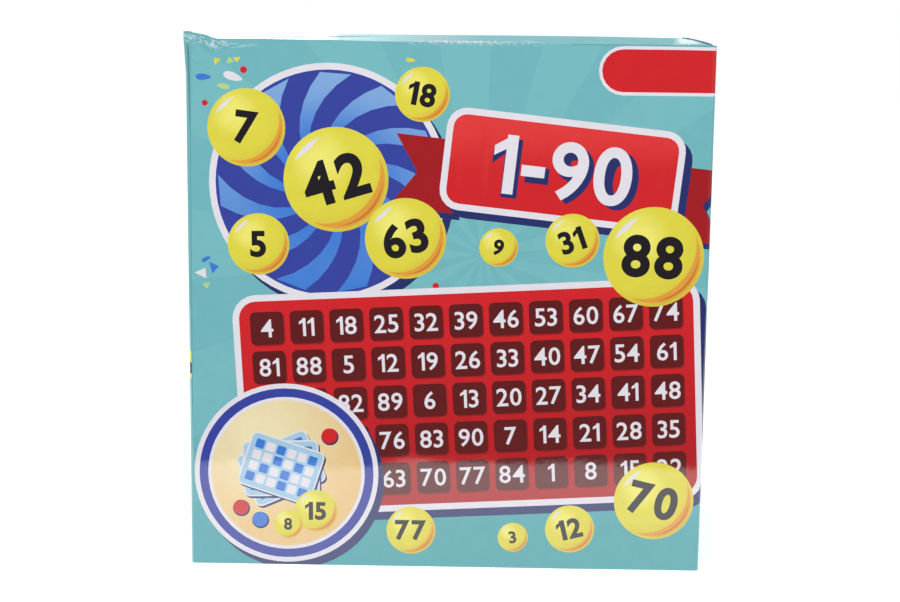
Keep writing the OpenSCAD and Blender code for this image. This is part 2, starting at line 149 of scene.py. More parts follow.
class CartonSizes(PropertyGroup):
    """Form of the board panels."""
    front_bow: FloatProperty(name="Front bow", description="How far the front swells, in mm",
                             default=1.3, min=0, max=4)
    side_bow: FloatProperty(name="Side bow", description="How far each side swells, in mm",
                            default=3.2, min=0, max=5)
    back_bow: FloatProperty(name="Back bow", description="How far the back swells, in mm",
                            default=1.6, min=0, max=4)
    lid_dome: FloatProperty(name="Lid dome", description="How far the lid swells, in mm",
                            default=1.8, min=0, max=4)
    skin: FloatProperty(name="Printed skin", description="Thickness of the outer paper, in mm",
                        default=0.3, min=0.1, max=0.5)
    liner: FloatProperty(name="Inner liner", description="Thickness of the inner paper, in mm",
                         default=0.25, min=0.1, max=0.5)
    flute_pitch: FloatProperty(name="Flute pitch", description="Spacing of the flutes, in mm",
                               default=3.2, min=2, max=6)
    corner_lift: FloatProperty(name="Corner lift", description="Rise of the crushed corner, in mm",
                               default=3.6, min=0, max=6)
    corner_reach: FloatProperty(name="Corner reach", default=25, min=5, max=40,
                                description="How far the crushed corner reaches, in mm")
    corner_droop: FloatProperty(name="Corner droop", default=0.2, min=0, max=3,
                                description="Droop of the other top corner, in mm")
    crease_t: FloatProperty(name="Crease", description="Thickness of board at a crease, in mm",
                            default=0.45, min=0.3, max=1.2)


class PrintSizes(PropertyGroup):
    """Sizes of the drawn print."""
    grid_step: FloatProperty(name="Grid", description="Spacing of the panels' own points, in mm",
                             default=6, min=2, max=20)
    ball_scale: FloatProperty(name="Ball scale", description="Scale of the printed balls",
                              default=1, min=0.5, max=1.5, subtype="FACTOR")
    confetti: IntProperty(name="Confetti", description="Number of loose shapes on the front",
                          default=46, min=0, max=200)


class StageSizes(PropertyGroup):
    """Camera and light."""
    pitch: FloatProperty(name="Pitch", description="How far the camera looks down",
                         default=math.radians(9.70), subtype="ANGLE")
    yaw: FloatProperty(name="Yaw", description="Turn of the camera about the upright",
                       default=math.radians(-0.74), subtype="ANGLE")
    roll: FloatProperty(name="Roll", description="Clockwise roll of the picture",
                        default=math.radians(0.69), subtype="ANGLE")
    distance: FloatProperty(name="Distance", description="Camera to its target, in m", default=1.025,
                            subtype="DISTANCE")
    lens: FloatProperty(name="Lens", description="Focal length on a 36 mm sensor, in mm",
                        default=72.76)
    target: FloatVectorProperty(name="Target", description="Point the camera looks at",
                                default=(0.0002, 0.0, 0.1298), subtype="XYZ")
    world_light: FloatProperty(name="Room light", description="Strength of the even room light",
                               default=0.62)
    table_edge: FloatProperty(name="Table edge", description="Front edge of the pale table, in mm",
                              default=-282)


# Mesh helpers


def new_object(name, points_mm, faces, materials, face_slots=None, sharp_deg=35):
    """An object from points in millimetres, smooth except at edges sharper than sharp_deg."""
    mesh = bpy.data.meshes.new(name)
    mesh.from_pydata([tuple(c * MM for c in p) for p in points_mm], [], faces)
    for material in materials:
        mesh.materials.append(material)
    if face_slots:
        for polygon, slot in zip(mesh.polygons, face_slots):
            polygon.material_index = slot
    mesh.shade_smooth()
    mesh.set_sharp_from_angle(angle=math.radians(sharp_deg))
    made = bpy.data.objects.new(name, mesh)
    bpy.context.scene.collection.objects.link(made)
    return made


def settle(made, body, slot, *nodes):
    """Rides a piece on its body and hides the CAD nodes that it stands for."""
    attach(made, body)
    if nodes:
        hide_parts(*nodes)


class Shell:
    """Collects the closed sheets of one piece."""

    def __init__(self):
        self.points = []
        self.faces = []
        self.slots = []
        self.colours = []
        self.places = []
        self.normals = []

    def add_face(self, face, slot, colours=None, places=None, normals=None):
        """Adds one face, with its corners' inks, flat places and ways out."""
        self.faces.append(tuple(face))
        self.slots.append(slot)
        self.colours.append(colours)
        self.places.append(places)
        self.normals.append(normals)

    def add_sheet(self, place, flat, deep, faces, slots, colours=None):
        """Closes the space between two depths of a mapped sheet. slots: outer, inner, edge.

        deep gives the depths of the outer and inner face at a flat place.
        """
        start, count = len(self.points), len(flat)
        facing, turned_over = sheet_normals(place, flat)
        if turned_over:
            faces = [face[::-1] for face in faces]
            colours = [colour[::-1] for colour in colours] if colours else None
        placed = [place(*p) for p in flat]
        depths = [deep(*p) for p in flat]
        self.points += [p - out * d[0] for (p, out), d in zip(placed, depths)]
        self.points += [p - out * d[1] for (p, out), d in zip(placed, depths)]
        border = {}
        for i, face in enumerate(faces):
            self.add_face([start + k for k in face], slots[0], colours[i] if colours else None,
                          [flat[k] for k in face], [facing[k] for k in face])
            back = face[::-1]
            self.add_face([start + count + k for k in back], slots[1], None,
                          [flat[k] for k in back], [-facing[k] for k in back])
            for a, b in zip(face, face[1:] + face[:1]):
                if (b, a) in border:
                    del border[(b, a)]
                else:
                    border[(a, b)] = True
        for a, b in border:
            self.add_face((start + b, start + a, start + count + a, start + count + b), slots[2],
                          None, [flat[b], flat[a], flat[a], flat[b]])

    def build(self, name, materials, sharp_deg=35):
        """Makes the object, with its ink colours and a map of flat places in metres."""
        made = new_object(name, self.points, self.faces, materials, self.slots, sharp_deg)
        mesh = made.data
        ink = mesh.color_attributes.new("print_ink", "FLOAT_COLOR", "CORNER")
        flat = mesh.uv_layers.new(name="flat_place")
        paper = rgba(INK["white"])
        inks, places, facing = [], [], []
        for face, colour, place, normals in zip(self.faces, self.colours, self.places, self.normals):
            for k in range(len(face)):
                inks.extend((*colour[k], 1.0) if colour else paper)
                places.extend((place[k][0] * MM, place[k][1] * MM))
                facing.append(normals[k] if normals else (0, 0, 0))
        ink.data.foreach_set("color", inks)
        flat.data.foreach_set("uv", places)
        mesh.normals_split_custom_set(facing)
        return made


def sheet_normals(place, flat):
    """Way out of a mapped sheet at each flat place, and whether the map turns it over."""
    near = 0.4
    normals = []
    for u, v in flat:
        across = place(u + near, v)[0] - place(u - near, v)[0]
        along = place(u, v + near)[0] - place(u, v - near)[0]
        normals.append(across.cross(along).normalized())
    turned_over = normals[0].dot(place(*flat[0])[1]) < 0
    return ([-normal for normal in normals] if turned_over else normals), turned_over


# Flat drawing


def circle(x, y, r, count=40):
    """Points round a circle."""
    return [(x + r * math.cos(a), y + r * math.sin(a))
            for a in (2 * math.pi * i / count for i in range(count))]


def turned(points, x, y, degrees):
    """Points turned about their own origin and moved to a place."""
    c, s = math.cos(math.radians(degrees)), math.sin(math.radians(degrees))
    return [(x + c * px - s * py, y + s * px + c * py) for px, py in points]


def round_box(w, h, r, steps=5):
    """A rectangle with round corners about its own middle."""
    points = []
    for cx, cy, start in ((w / 2 - r, h / 2 - r, 0), (r - w / 2, h / 2 - r, 90),
                          (r - w / 2, r - h / 2, 180), (w / 2 - r, r - h / 2, 270)):
        for i in range(steps + 1):
            a = math.radians(start + 90 * i / steps)
            points.append((cx + r * math.cos(a), cy + r * math.sin(a)))
    return points


def rectangle(low_x, low_y, high_x, high_y):
    """Corners of a rectangle, anticlockwise."""
    return [(low_x, low_y), (high_x, low_y), (high_x, high_y), (low_x, high_y)]


def span(points):
    """Lowest x and y, then highest x and y, of some points."""
    xs, ys = [p[0] for p in points], [p[1] for p in points]
    return min(xs), min(ys), max(xs), max(ys)


def signed_area(outline):
    """Twice the area of an outline, above zero where it runs anticlockwise."""
    return sum(a[0] * b[1] - b[0] * a[1] for a, b in zip(outline, outline[1:] + outline[:1]))


def even_points(box, step):
    """Points spread evenly over a box, about a step apart."""
    low_x, low_y, high_x, high_y = box
    count_x = max(2, round((high_x - low_x) / step))
    count_y = max(2, round((high_y - low_y) / step))
    return [Vector((low_x + (high_x - low_x) * i / count_x, low_y + (high_y - low_y) * j / count_y))
            for i in range(count_x + 1) for j in range(count_y + 1)]


GLYPHS = {}


def font_glyph(char, weight, detail):
    """Triangles of one font numeral, one unit high with its left at zero, and its width."""
    curve = bpy.data.curves.new("numeral", "FONT")
    curve.body = char
    curve.resolution_u = detail
    curve.offset = weight
    holder = bpy.data.objects.new("numeral", curve)
    bpy.context.scene.collection.objects.link(holder)
    graph = bpy.context.evaluated_depsgraph_get()
    graph.update()
    shown = holder.evaluated_get(graph)
    mesh = shown.to_mesh()
    mesh.calc_loop_triangles()
    points = [v.co.to_2d() for v in mesh.vertices]
    left, low, right, top = span(points)
    size = top - low
    triangles = [[((points[i].x - left) / size, (points[i].y - low) / size) for i in tri.vertices]
                 for tri in mesh.loop_triangles]
    shown.to_mesh_clear()
    bpy.data.objects.remove(holder)
    bpy.data.curves.remove(curve)
    return triangles, (right - left) / size


def glyph(char, weight, detail):
    """Flat shapes of one numeral or dash, one unit high, and its width."""
    stroke = 0.13 + 2.9 * weight
    if char == "1":
        # A plain stem with a slanted flag at its top left
        left, drop = 0.2, 0.2
        right = left + stroke
        flag = [(left + stroke / 2, 1), (0, 1 - drop), (0, 1 - drop - stroke * 0.9),
                (left + 0.01, 1 - drop - stroke * 0.2)]
        return [flag, rectangle(left, 0, right, 1)], right
    if char == "-":
        width, middle = 0.4, 0.43
        return [rectangle(0, middle - stroke / 2, width, middle + stroke / 2)], width
    return font_glyph(char, weight, detail)


def glyph_shapes(text, weight, detail):
    """Flat shapes of a row of numerals, one unit high and centred."""
    key = (text, weight, detail)
    if key not in GLYPHS:
        gap, least_area = 0.1, 1e-5
        shapes = []
        x = 0
        for char in text:
            parts, width = glyph(char, weight, detail)
            # Slivers of no area would let one ink flood the next
            shapes += [[(px + x, py - 0.5) for px, py in part] for part in parts
                       if abs(signed_area(part)) > least_area]
            x += width + gap
        middle = (x - gap) / 2
        GLYPHS[key] = [[(px - middle, py) for px, py in part] for part in shapes]
    return GLYPHS[key]


class Drawing:
    """Flat shapes in painter's order over a ground outline, each with its own ink."""

    def __init__(self, ground, ink):
        self.shapes = [(ground, ink)]
        self.guides = []

    def add(self, points, ink):
        """A shape in a flat ink, in one worked out from the place, or cut out where ink is None."""
        self.shapes.append((points, ink))

    def bends(self, lines):
        """Straight lines along which the board bends: no triangle crosses them."""
        self.guides += lines

    def bends_across(self, low, high, places):
        """Level bends from low to high, at some distances along the board."""
        self.bends([((low, at), (high, at)) for at in places])

    def disc(self, x, y, r, ink, count=40):
        self.add(circle(x, y, r, count), ink)

    def numeral(self, text, x, y, high, ink, degrees=0, weight=0.012, upward=1):
        """Plain numerals of a height in mm, centred on a place. upward is -1 where y runs down."""
        detail = 7 if high > 12 else 3
        for part in glyph_shapes(text, weight, detail):
            upright = [(px * high, py * high * upward) for px, py in part]
            self.add(turned(upright, x, y, degrees), ink)

    def ball(self, x, y, r, number, degrees=0):
        """A ball lit from the upper left, with an orange shade low on the right and its number."""
        light, body, low = (linear(INK[key]) for key in ("yellow_light", "yellow", "yellow_low"))

        def skin(px, py):
            away = math.hypot(px - (x - 0.3 * r), py - (y + 0.36 * r)) / r
            return mix(mix(light, body, smooth(0.15, 0.7, away)), low, smooth(0.95, 1.45, away))

        self.disc(x, y, r, skin, 48)
        # Inner rings, at which the shade has points to change
        for ring in (0.93, 0.78, 0.55, 0.3):
            self.disc(x, y, r * ring, skin, 36)
        self.moon(x, y, r, 0.93, 0.19, -118, 28, INK["orange"])
        self.moon(x, y, r, 0.89, 0.05, -88, 0, INK["orange_deep"])
        self.moon(x, y, r, 0.86, 0.10, 112, 156, INK["white"])
        self.numeral(str(number), x - 0.02 * r, y, r * 0.86, INK["black"], degrees, 0.035)

    def balls(self, places, scale=1):
        """Balls at their places, radii and numbers, each turned up to 20 degrees by its number."""
        for x, y, r, number in places:
            self.ball(x, y, r * scale, number, (number * 37) % 41 - 20)

    def moon(self, x, y, r, out_share, wide_share, start, end, ink):
        """A crescent that follows a ball's rim from one angle to another."""
        steps = 16
        outer, inner = [], []
        for i in range(steps + 1):
            a = math.radians(start + (end - start) * i / steps)
            narrow = out_share - wide_share * math.sin(math.pi * i / steps)
            outer.append((x + out_share * r * math.cos(a), y + out_share * r * math.sin(a)))
            inner.append((x + narrow * r * math.cos(a), y + narrow * r * math.sin(a)))
        self.add(outer + inner[-2:0:-1], ink)

    def scuffs(self, seed, count, low, high, long, wide, angle, spread, ink):
        """Thin cracks where the film and ink have split, over a rectangle."""
        draw = random.Random(seed)
        for _ in range(count):
            x, y = draw.uniform(low[0], high[0]), draw.uniform(low[1], high[1])
            half, thick = draw.uniform(0.3, 1) * long / 2, draw.uniform(0.4, 1) * wide / 2
            sliver = [(-half, 0), (-half * 0.3, -thick), (half * 0.4, -thick * 0.6), (half, 0),
                      (half * 0.2, thick), (-half * 0.5, thick * 0.7)]
            self.add(turned(sliver, x, y, angle + draw.uniform(-spread, spread)), ink)

    def compose(self, step, fine=()):
        """Points, triangles and corner inks. fine holds extra points for creased places."""
        points, outlines = [], []
        for outline, _ in self.shapes:
            loop = list(range(len(points), len(points) + len(outline)))
            outlines.append(loop if signed_area(outline) > 0 else loop[::-1])
            points += [Vector(p) for p in outline]
        boxes = [span(outline) for outline, _ in self.shapes]
        points += even_points(boxes[0], step)
        points += [Vector(p) for p in fine]
        first = len(points)
        points += [Vector(p) for line in self.guides for p in line]
        lines = [(first + 2 * i, first + 2 * i + 1) for i in range(len(self.guides))]
        only_inside, least_gap = 1, 1e-4
        verts, _, faces, _, _, owners = delaunay_2d_cdt(points, lines, outlines, only_inside,
                                                        least_gap, True)
        inks = [linear(ink) if isinstance(ink, str) else None for _, ink in self.shapes]
        kept, colours = [], []
        for face, owner in zip(faces, owners):
            if 0 not in owner:
                continue
            cx = sum(verts[k].x for k in face) / len(face)
            cy = sum(verts[k].y for k in face) / len(face)
            # A shape owns only what lies in its own box, also where points have run together
            top = max(o for o in owner if o == 0 or (boxes[o][0] <= cx <= boxes[o][2]
                                                     and boxes[o][1] <= cy <= boxes[o][3]))
            paint = self.shapes[top][1]
            if paint is None:
                continue
            kept.append(face)
            colours.append([inks[top] if inks[top] else paint(*verts[k]) for k in face])
        used = sorted({k for face in kept for k in face})
        place_of = {k: i for i, k in enumerate(used)}
        return ([tuple(verts[k]) for k in used], [tuple(place_of[k] for k in face) for face in kept],
                colours)


# Places on the carton, in mm. Each returns a point and the way out of the board.


def carton():
    """Sizes of the board, as the user sets them."""
    return bpy.context.scene.carton_sizes


def crush(point):
    """Shift of the board near the crushed top left corner of the front."""
    reach = carton().corner_reach
    away_x, away_y, away_z = point.x + HALF_W, point.y + HALF_D, HEIGHT - point.z
    near = (1 - smooth(0, reach, away_x)) * (1 - smooth(0, reach * 0.8, away_z))
    near *= 1 - smooth(0, reach * 0.6, away_y)
    if near <= 0:
        return Vector((0, 0, 0))
    # Dents about 5 mm and 2 mm across
    crinkle = noise.noise(point * 0.21) + noise.noise(point * 0.55) * 0.7
    # Most of the lift is a step near the corner, and the rest a sharp peak at its tip
    lift = carton().corner_lift * (0.7 * smooth(0.25, 0.85, near) + 0.3 * near ** 6)
    outward, forward = 0.9 * near ** 2, 1.8 * near ** 2
    return Vector((-outward + crinkle * 0.3 * near, -forward + crinkle * near,
                   lift + crinkle * 0.55 * near))


def droop(point):
    """Drop of the board at the top right corner of the front."""
    near = smooth(HALF_W - 14, HALF_W + 2, point.x) * smooth(HEIGHT - 26, HEIGHT, point.z)
    near *= 1 - smooth(0, 45, point.y + HALF_D)
    return Vector((0, 0, -carton().corner_droop * near))


def waver(point):
    """Slight unevenness of pressed board."""
    return 0.22 * noise.noise(point * 0.018) + 0.06 * noise.noise(point * 0.07)


def swell(u, v):
    """One in the middle of a panel, zero along its edges. u and v run from -1 to 1."""
    return max(0.0, 1 - u * u) * max(0.0, 1 - v ** 4)


def on_wide_wall(side, bow):
    """Map of the front (side -1) or back (side 1) wall, whose ends wrap round the creases."""
    waver_fade = 12

    def place(s, z):
        s_side = 1 if s > 0 else -1
        over = abs(s) - FLAT_HALF
        if over <= 0:
            x, y, out = s, HALF_D, Vector((0, side, 0))
            bulge = bow * swell(s / FLAT_HALF, (z - HEIGHT / 2) / (HEIGHT / 2))
        else:
            a = over / CREASE_R
            x = s_side * (FLAT_HALF + CREASE_R * math.sin(a))
            y = HALF_D - CREASE_R + CREASE_R * math.cos(a)
            out = Vector((s_side * math.sin(a), side * math.cos(a), 0))
            bulge = 0
        point = Vector((x if side < 0 else -x, side * y, z))
        if side > 0:
            out.x = -out.x
        near_edge = min(1.0, max(0.0, -over / waver_fade))
        point.y += side * (bulge + waver(point) * near_edge)
        return point + crush(point) + droop(point), out
    return place


def on_side_wall(side):
    """Map of the left (side -1) or right (side 1) wall. t runs from front to back."""
    low, high = SIDE_LOW.y, SIDE_HIGH.y
    bow = carton().side_bow

    def place(t, z):
        y = t * side
        point = Vector((side * HALF_W, y, z))
        u = 2 * (y - low) / (high - low) - 1
        v = 2 * z / HEIGHT - 1
        edge = max(0.0, 1 - u * u)
        point.x += side * (bow * swell(u, v) + waver(point) * min(1, edge * 3))
        return point + crush(point) + droop(point), Vector((side, 0, 0))
    return place


# The crease between the lid and its tongue: its radius, how far from the hinge line it starts,
# the tongue's lean from the upright, and the length of board that bends
LID_BEND_R = 3.0
LID_BEND_START = HINGE_Y - LID_LOW.y - LID_BEND_R
TONGUE_LEAN = math.atan2(TONGUE_HIGH.y - TONGUE_LOW.y - BOARD_T, TONGUE_HIGH.z - TONGUE_LOW.z)
LID_BEND_ARC = LID_BEND_R * (math.pi / 2 + TONGUE_LEAN)
# The lid moves with the front wall's crushed corner, but less than the wall does
LID_CRUSH = 0.45


def lid_wrinkles(x, past):
    """Height of the small dents along the lid's front crease and of a fold at its right end."""
    worn = smooth(WORN_LOW, WORN_LOW + 12, x) * (1 - smooth(WORN_HIGH - 16, WORN_HIGH, x))
    worn *= smooth(-16, -8, past)
    worn *= 1 - smooth(-2, 0, past)
    dents = noise.noise(Vector((x * 0.55, past * 0.5, 2)))
    fold_x, fold_past, fold_long, fold_wide = 116, -9, 13, 3
    fold = math.exp(-((x - fold_x) / fold_long) ** 2 - ((past - fold_past) / fold_wide) ** 2)
    return 0.4 * worn * dents + 0.6 * fold


def on_lid(x, v):
    """Map of the lid, its front crease and its tongue. v runs forward from the hinge line."""
    turn = LID_BEND_ARC / LID_BEND_R
    past = v - LID_BEND_START
    if past <= 0:
        point = Vector((x, HINGE_Y - v, HEIGHT))
        across = x / HALF_W
        along = 2 * v / LID_BEND_START - 1
        # The lid is fuller on the right, where its free edge stands a little proud
        held = 0.75 if x > 0 else 1
        full_at = max(0, 1 - held * across * across) * max(0, 1 - along * along)
        point.z += carton().lid_dome * full_at * (0.8 + 0.8 * across)
        point.z += lid_wrinkles(x, past)
        point.z += waver(point) * min(1, max(0, 1 - along * along) * 3)
        return point + crush(point) * LID_CRUSH + droop(point), UP.copy()
    a = min(past / LID_BEND_R, turn)
    centre = Vector((x, LID_LOW.y + LID_BEND_R, HEIGHT - LID_BEND_R))
    out = Vector((0, -math.sin(a), math.cos(a)))
    point = centre + out * LID_BEND_R
    if past > LID_BEND_ARC:
        point += Vector((0, -math.cos(turn), -math.sin(turn))) * (past - LID_BEND_ARC)
    return point + crush(point) * LID_CRUSH + droop(point), out


def flat_board(z, side=1):
    """Map of a level board whose outer face is at a height and looks up (1) or down (-1)."""
    def place(x, y):
        return Vector((x, y * side, z)), Vector((0, 0, side))
    return place


def upright_face(y, side):
    """Map of a flat upright face that looks forward (side -1) or back (side 1)."""
    def place(u, v):
        return Vector((-u * side, y, v)), Vector((0, side, 0))
    return place


def node_outline(node, side=1):
    """Outline, in plan, of a CAD plate with a convex edge, turned anticlockwise."""
    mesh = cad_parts[node].data
    points = {(round(v.co.x / MM, 3), round(v.co.y / MM * side, 3)) for v in mesh.vertices}
    return convex(points)


def convex(points):
    """Corner points of the convex outline round some points."""
    ordered = sorted(points)

    def half(run):
        chain = []
        for p in run:
            while len(chain) > 1:
                (ax, ay), (bx, by) = chain[-2], chain[-1]
                if (bx - ax) * (p[1] - ay) - (by - ay) * (p[0] - ax) > 1e-6:
                    break
                chain.pop()
            chain.append(p)
        return chain[:-1]
    return half(ordered) + half(reversed(ordered))


def flutes(shell, place, reach, top, slot):
    """Adds the wavy middle paper between the liners, from -reach to reach, under a cut edge."""
    sizes = carton()
    middle = (sizes.skin + BOARD_T - sizes.liner) / 2
    half_paper, clear = 0.09, 0.12
    swing = middle - sizes.skin - clear
    rows, band, points_a_flute = 2, 9.0, 8
    count = int(2 * reach / sizes.flute_pitch * points_a_flute)
    flat = []
    for j in range(rows + 1):
        for i in range(count + 1):
            u = 2 * reach * i / count - reach
            flat.append((u, top(u) - band * (1 - j / rows)))
    corners = (0, 1, count + 2, count + 1)
    faces = [tuple(j * (count + 1) + i + k for k in corners)
             for j in range(rows) for i in range(count)]

    def deep(u, v):
        d = middle + swing * math.sin(2 * math.pi * u / sizes.flute_pitch)
        return d - half_paper, d + half_paper
    shell.add_sheet(place, flat, deep, faces, (slot, slot, slot))


def board_piece(name, drawing, place, step, fine=(), bands=(), liner=None):
    """A panel of laminated fluted board: printed skin, wavy middle at cut edges and inner liner."""
    sizes = carton()
    shell = Shell()
    flat, faces, colours = drawing.compose(step, fine)
    shell.add_sheet(place, flat, lambda u, v: (0, sizes.skin), faces, (0, 1, 1), colours)
    plain = Drawing(liner or drawing.shapes[0][0], INK["white"])
    plain.bends(drawing.guides)
    flat, faces, _ = plain.compose(step * 2, fine)
    shell.add_sheet(place, flat, lambda u, v: (BOARD_T - sizes.liner, BOARD_T), faces, (1, 2, 1))
    for band in bands:
        flutes(shell, place, *band, 1)
    return shell.build(name, board_materials())


def sheet_piece(name, drawing, place, step, depths, materials, slots=(0, 0, 0)):
    """A single drawn sheet between two depths. slots: outer, inner, edge."""
    flat, faces, colours = drawing.compose(step)
    shell = Shell()
    shell.add_sheet(place, flat, lambda u, v: depths, faces, slots, colours)
    return shell.build(name, materials)


# Materials


def add_node(tree, kind, settings=None, inputs=None):
    """Adds a shader node, with its settings and with its inputs set or linked."""
    made = tree.nodes.new(kind)
    for key, value in (settings or {}).items():
        setattr(made, key, value)
    for key, value in (inputs or {}).items():
        socket = made.inputs[key]
        if isinstance(value, bpy.types.NodeSocket):
            tree.links.new(value, socket)
        else:
            socket.default_value = value
    return made


def per_metre(size_mm):
    """Scale of a pattern whose marks are a size across."""
    return 1 / (size_mm * MM)


def start_material(name):
    """A material with an empty node tree but for its output."""
    material = bpy.data.materials.new(name)
    material.use_nodes = True
    material.node_tree.nodes.clear()
    return material, material.node_tree


def finish_material(tree, shader):
    add_node(tree, "ShaderNodeOutputMaterial", None, {"Surface": shader.outputs["BSDF"]})


MATERIALS = {}


def kept_material(make):
    """Makes each material once."""
    def get():
        if make.__name__ not in MATERIALS:
            MATERIALS[make.__name__] = make()
        return MATERIALS[make.__name__]
    return get


def printed(name, ribbed, roughness, coat, coat_roughness):
    """Print whose ink comes from the mesh, with a mottle and, on fluted board, faint ribs."""
    material, tree = start_material(name)
    ink = add_node(tree, "ShaderNodeVertexColor", {"layer_name": "print_ink"})
    place = add_node(tree, "ShaderNodeUVMap", {"uv_map": "flat_place"})
    # Mottle of the ink
    mottle = add_node(tree, "ShaderNodeTexNoise", None,
                      {"Vector": place.outputs["UV"], "Scale": per_metre(9.09), "Detail": 4.0})
    tone = add_node(tree, "ShaderNodeMapRange", None,
                    {"Value": mottle.outputs["Fac"], "To Min": 0.94, "To Max": 1.05})
    toned = add_node(tree, "ShaderNodeVectorMath", {"operation": "SCALE"},
                     {0: ink.outputs["Color"], "Scale": tone.outputs["Result"]})
    # Ripple of the surface
    ripple = add_node(tree, "ShaderNodeTexNoise", None,
                      {"Vector": place.outputs["UV"], "Scale": per_metre(2.63), "Detail": 3.0})
    surface = add_node(tree, "ShaderNodeBump", None,
                       {"Height": ripple.outputs["Fac"], "Strength": 0.25, "Distance": 0.00006})
    shader = add_node(tree, "ShaderNodeBsdfPrincipled", None, {
        "Base Color": toned.outputs["Vector"], "Roughness": roughness, "IOR": 1.5,
        "Specular IOR Level": 0.1 if coat else 0.4, "Coat Weight": coat, "Coat IOR": 1.54,
        "Coat Roughness": coat_roughness, "Coat Normal": surface.outputs["Normal"]})
    if ribbed:
        # The wave texture turns 20 times its scale per metre, which is once a flute here
        turns = 20
        ribs = add_node(tree, "ShaderNodeTexWave",
                        {"wave_type": "BANDS", "bands_direction": "X", "wave_profile": "SIN"},
                        {"Vector": place.outputs["UV"],
                         "Scale": 2 * math.pi / turns * per_metre(carton().flute_pitch),
                         "Distortion": 0.6, "Detail": 1.0})
        rib_bump = add_node(tree, "ShaderNodeBump", None,
                            {"Height": ribs.outputs["Fac"], "Strength": 0.35, "Distance": 0.00004})
        tree.links.new(rib_bump.outputs["Normal"], surface.inputs["Normal"])
        tree.links.new(rib_bump.outputs["Normal"], shader.inputs["Normal"])
    else:
        tree.links.new(surface.outputs["Normal"], shader.inputs["Normal"])
    finish_material(tree, shader)
    return material


@kept_material
def film_laminated_litho():
    """Offset-printed paper under a gloss film, glued to fluted board: deep inks, a soft clear
    shine from the film alone, and the flutes just showing through as faint upright ribs."""
    return printed("film_laminated_litho", True, 0.5, 1.0, 0.06)


@kept_material
def varnished_card_print():
    """Offset print on card under a thin varnish: even inks and a soft sheen."""
    return printed("varnished_card_print", False, 0.45, 0.35, 0.25)


@kept_material
def knife_raised_print():
    """Dull dark print without film or shine on the lid's cut edge: painted shade of the gap beside the
    lid.
    """
    return printed("knife_raised_print", False, 0.9, 0.0, 0.0)


@kept_material
def pad_printed_ink():
    """Pad-printed ink on plastic: a thin opaque layer with a low shine."""
    return printed("pad_printed_ink", False, 0.42, 0.0, 0.0)


def paper_like(name, light_hex, dark_hex, fibre_mm, rough):
    """Uncoated paper: two tones of fibre, a fine tooth and no shine."""
    material, tree = start_material(name)
    coord = add_node(tree, "ShaderNodeTexCoord")
    fibre = add_node(tree, "ShaderNodeTexNoise", None,
                     {"Vector": coord.outputs["Object"], "Scale": per_metre(fibre_mm),
                      "Detail": 8.0, "Roughness": 0.65})
    tone = add_node(tree, "ShaderNodeMix", {"data_type": "RGBA"},
                    {"Factor": fibre.outputs["Fac"], 6: rgba(dark_hex), 7: rgba(light_hex)})
    bump = add_node(tree, "ShaderNodeBump", None,
                    {"Height": fibre.outputs["Fac"], "Strength": 0.5, "Distance": 0.00008})
    shader = add_node(tree, "ShaderNodeBsdfPrincipled", None, {
        "Base Color": tone.outputs[2], "Roughness": rough, "IOR": 1.45,
        "Normal": bump.outputs["Normal"]})
    finish_material(tree, shader)
    return material


@kept_material
def bleached_cut_edge():
    """The white paper of the skin and flutes where the board is cut: bright and fibrous."""
    return paper_like("bleached_cut_edge", "#f3f1ec", "#d6d2c8", 1.11, 0.85)


@kept_material
def grey_back_liner():
    """Recycled grey liner inside the carton: warm grey with darker fibre."""
    return paper_like("grey_back_liner", "#bdb6a8", "#97907f", 2.38, 0.9)


@kept_material
def printed_card_stock():
    """Coated card, printed and cut: light blue with a soft sheen."""
    return paper_like("printed_card_stock", "#b3d5ea", "#a2c8e0", 3.33, 0.5)


@kept_material
def white_leaflet_paper():
    """Plain uncoated leaflet paper."""
    return paper_like("white_leaflet_paper", "#f5f3ee", "#e3e0d8", 1.43, 0.8)


# Colours of the moulded pieces, as sRGB hex
PLASTIC = {"red": "#c8252a", "black": "#232326", "blue": "#2c45ad", "yellow": "#e6d640",
           "green": "#2f9a4f"}


def moulded_plastic(name, colour_key, rough, coat=0.0):
    """Injection-moulded plastic: even colour with slight flow marks and a faint skin texture."""
    material, tree = start_material(name)
    coord = add_node(tree, "ShaderNodeTexCoord")
    flow = add_node(tree, "ShaderNodeTexNoise", None,
                    {"Vector": coord.outputs["Object"], "Scale": per_metre(16.7), "Detail": 3.0})
    colour = linear(PLASTIC[colour_key])
    tone_span = 0.06
    dark = (*[c * (1 - tone_span) for c in colour], 1.0)
    light = (*[min(1, c * (1 + tone_span)) for c in colour], 1.0)
    tone = add_node(tree, "ShaderNodeMix", {"data_type": "RGBA"},
                    {"Factor": flow.outputs["Fac"], 6: dark, 7: light})
    skin = add_node(tree, "ShaderNodeTexNoise", None,
                    {"Vector": coord.outputs["Object"], "Scale": per_metre(3.85), "Detail": 2.0})
    bump = add_node(tree, "ShaderNodeBump", None,
                    {"Height": skin.outputs["Fac"], "Strength": 0.2, "Distance": 0.0001})
    spread = add_node(tree, "ShaderNodeMapRange", None,
                      {"Value": flow.outputs["Fac"], "To Min": rough * 0.85, "To Max": rough * 1.2})
    shader = add_node(tree, "ShaderNodeBsdfPrincipled", None, {
        "Base Color": tone.outputs[2], "Roughness": spread.outputs["Result"], "IOR": 1.53,
        "Coat Weight": coat, "Coat Roughness": 0.08, "Normal": bump.outputs["Normal"]})
    finish_material(tree, shader)
    return material


@kept_material
def moulded_red_polystyrene():
    """High-gloss toy polystyrene in red."""
    return moulded_plastic("moulded_red_polystyrene", "red", 0.22, 0.3)


@kept_material
def moulded_black_abs():
    """Satin black ABS."""
    return moulded_plastic("moulded_black_abs", "black", 0.34)


@kept_material
def moulded_blue_polystyrene():
    """High-gloss toy polystyrene in blue."""
    return moulded_plastic("moulded_blue_polystyrene", "blue", 0.2, 0.3)


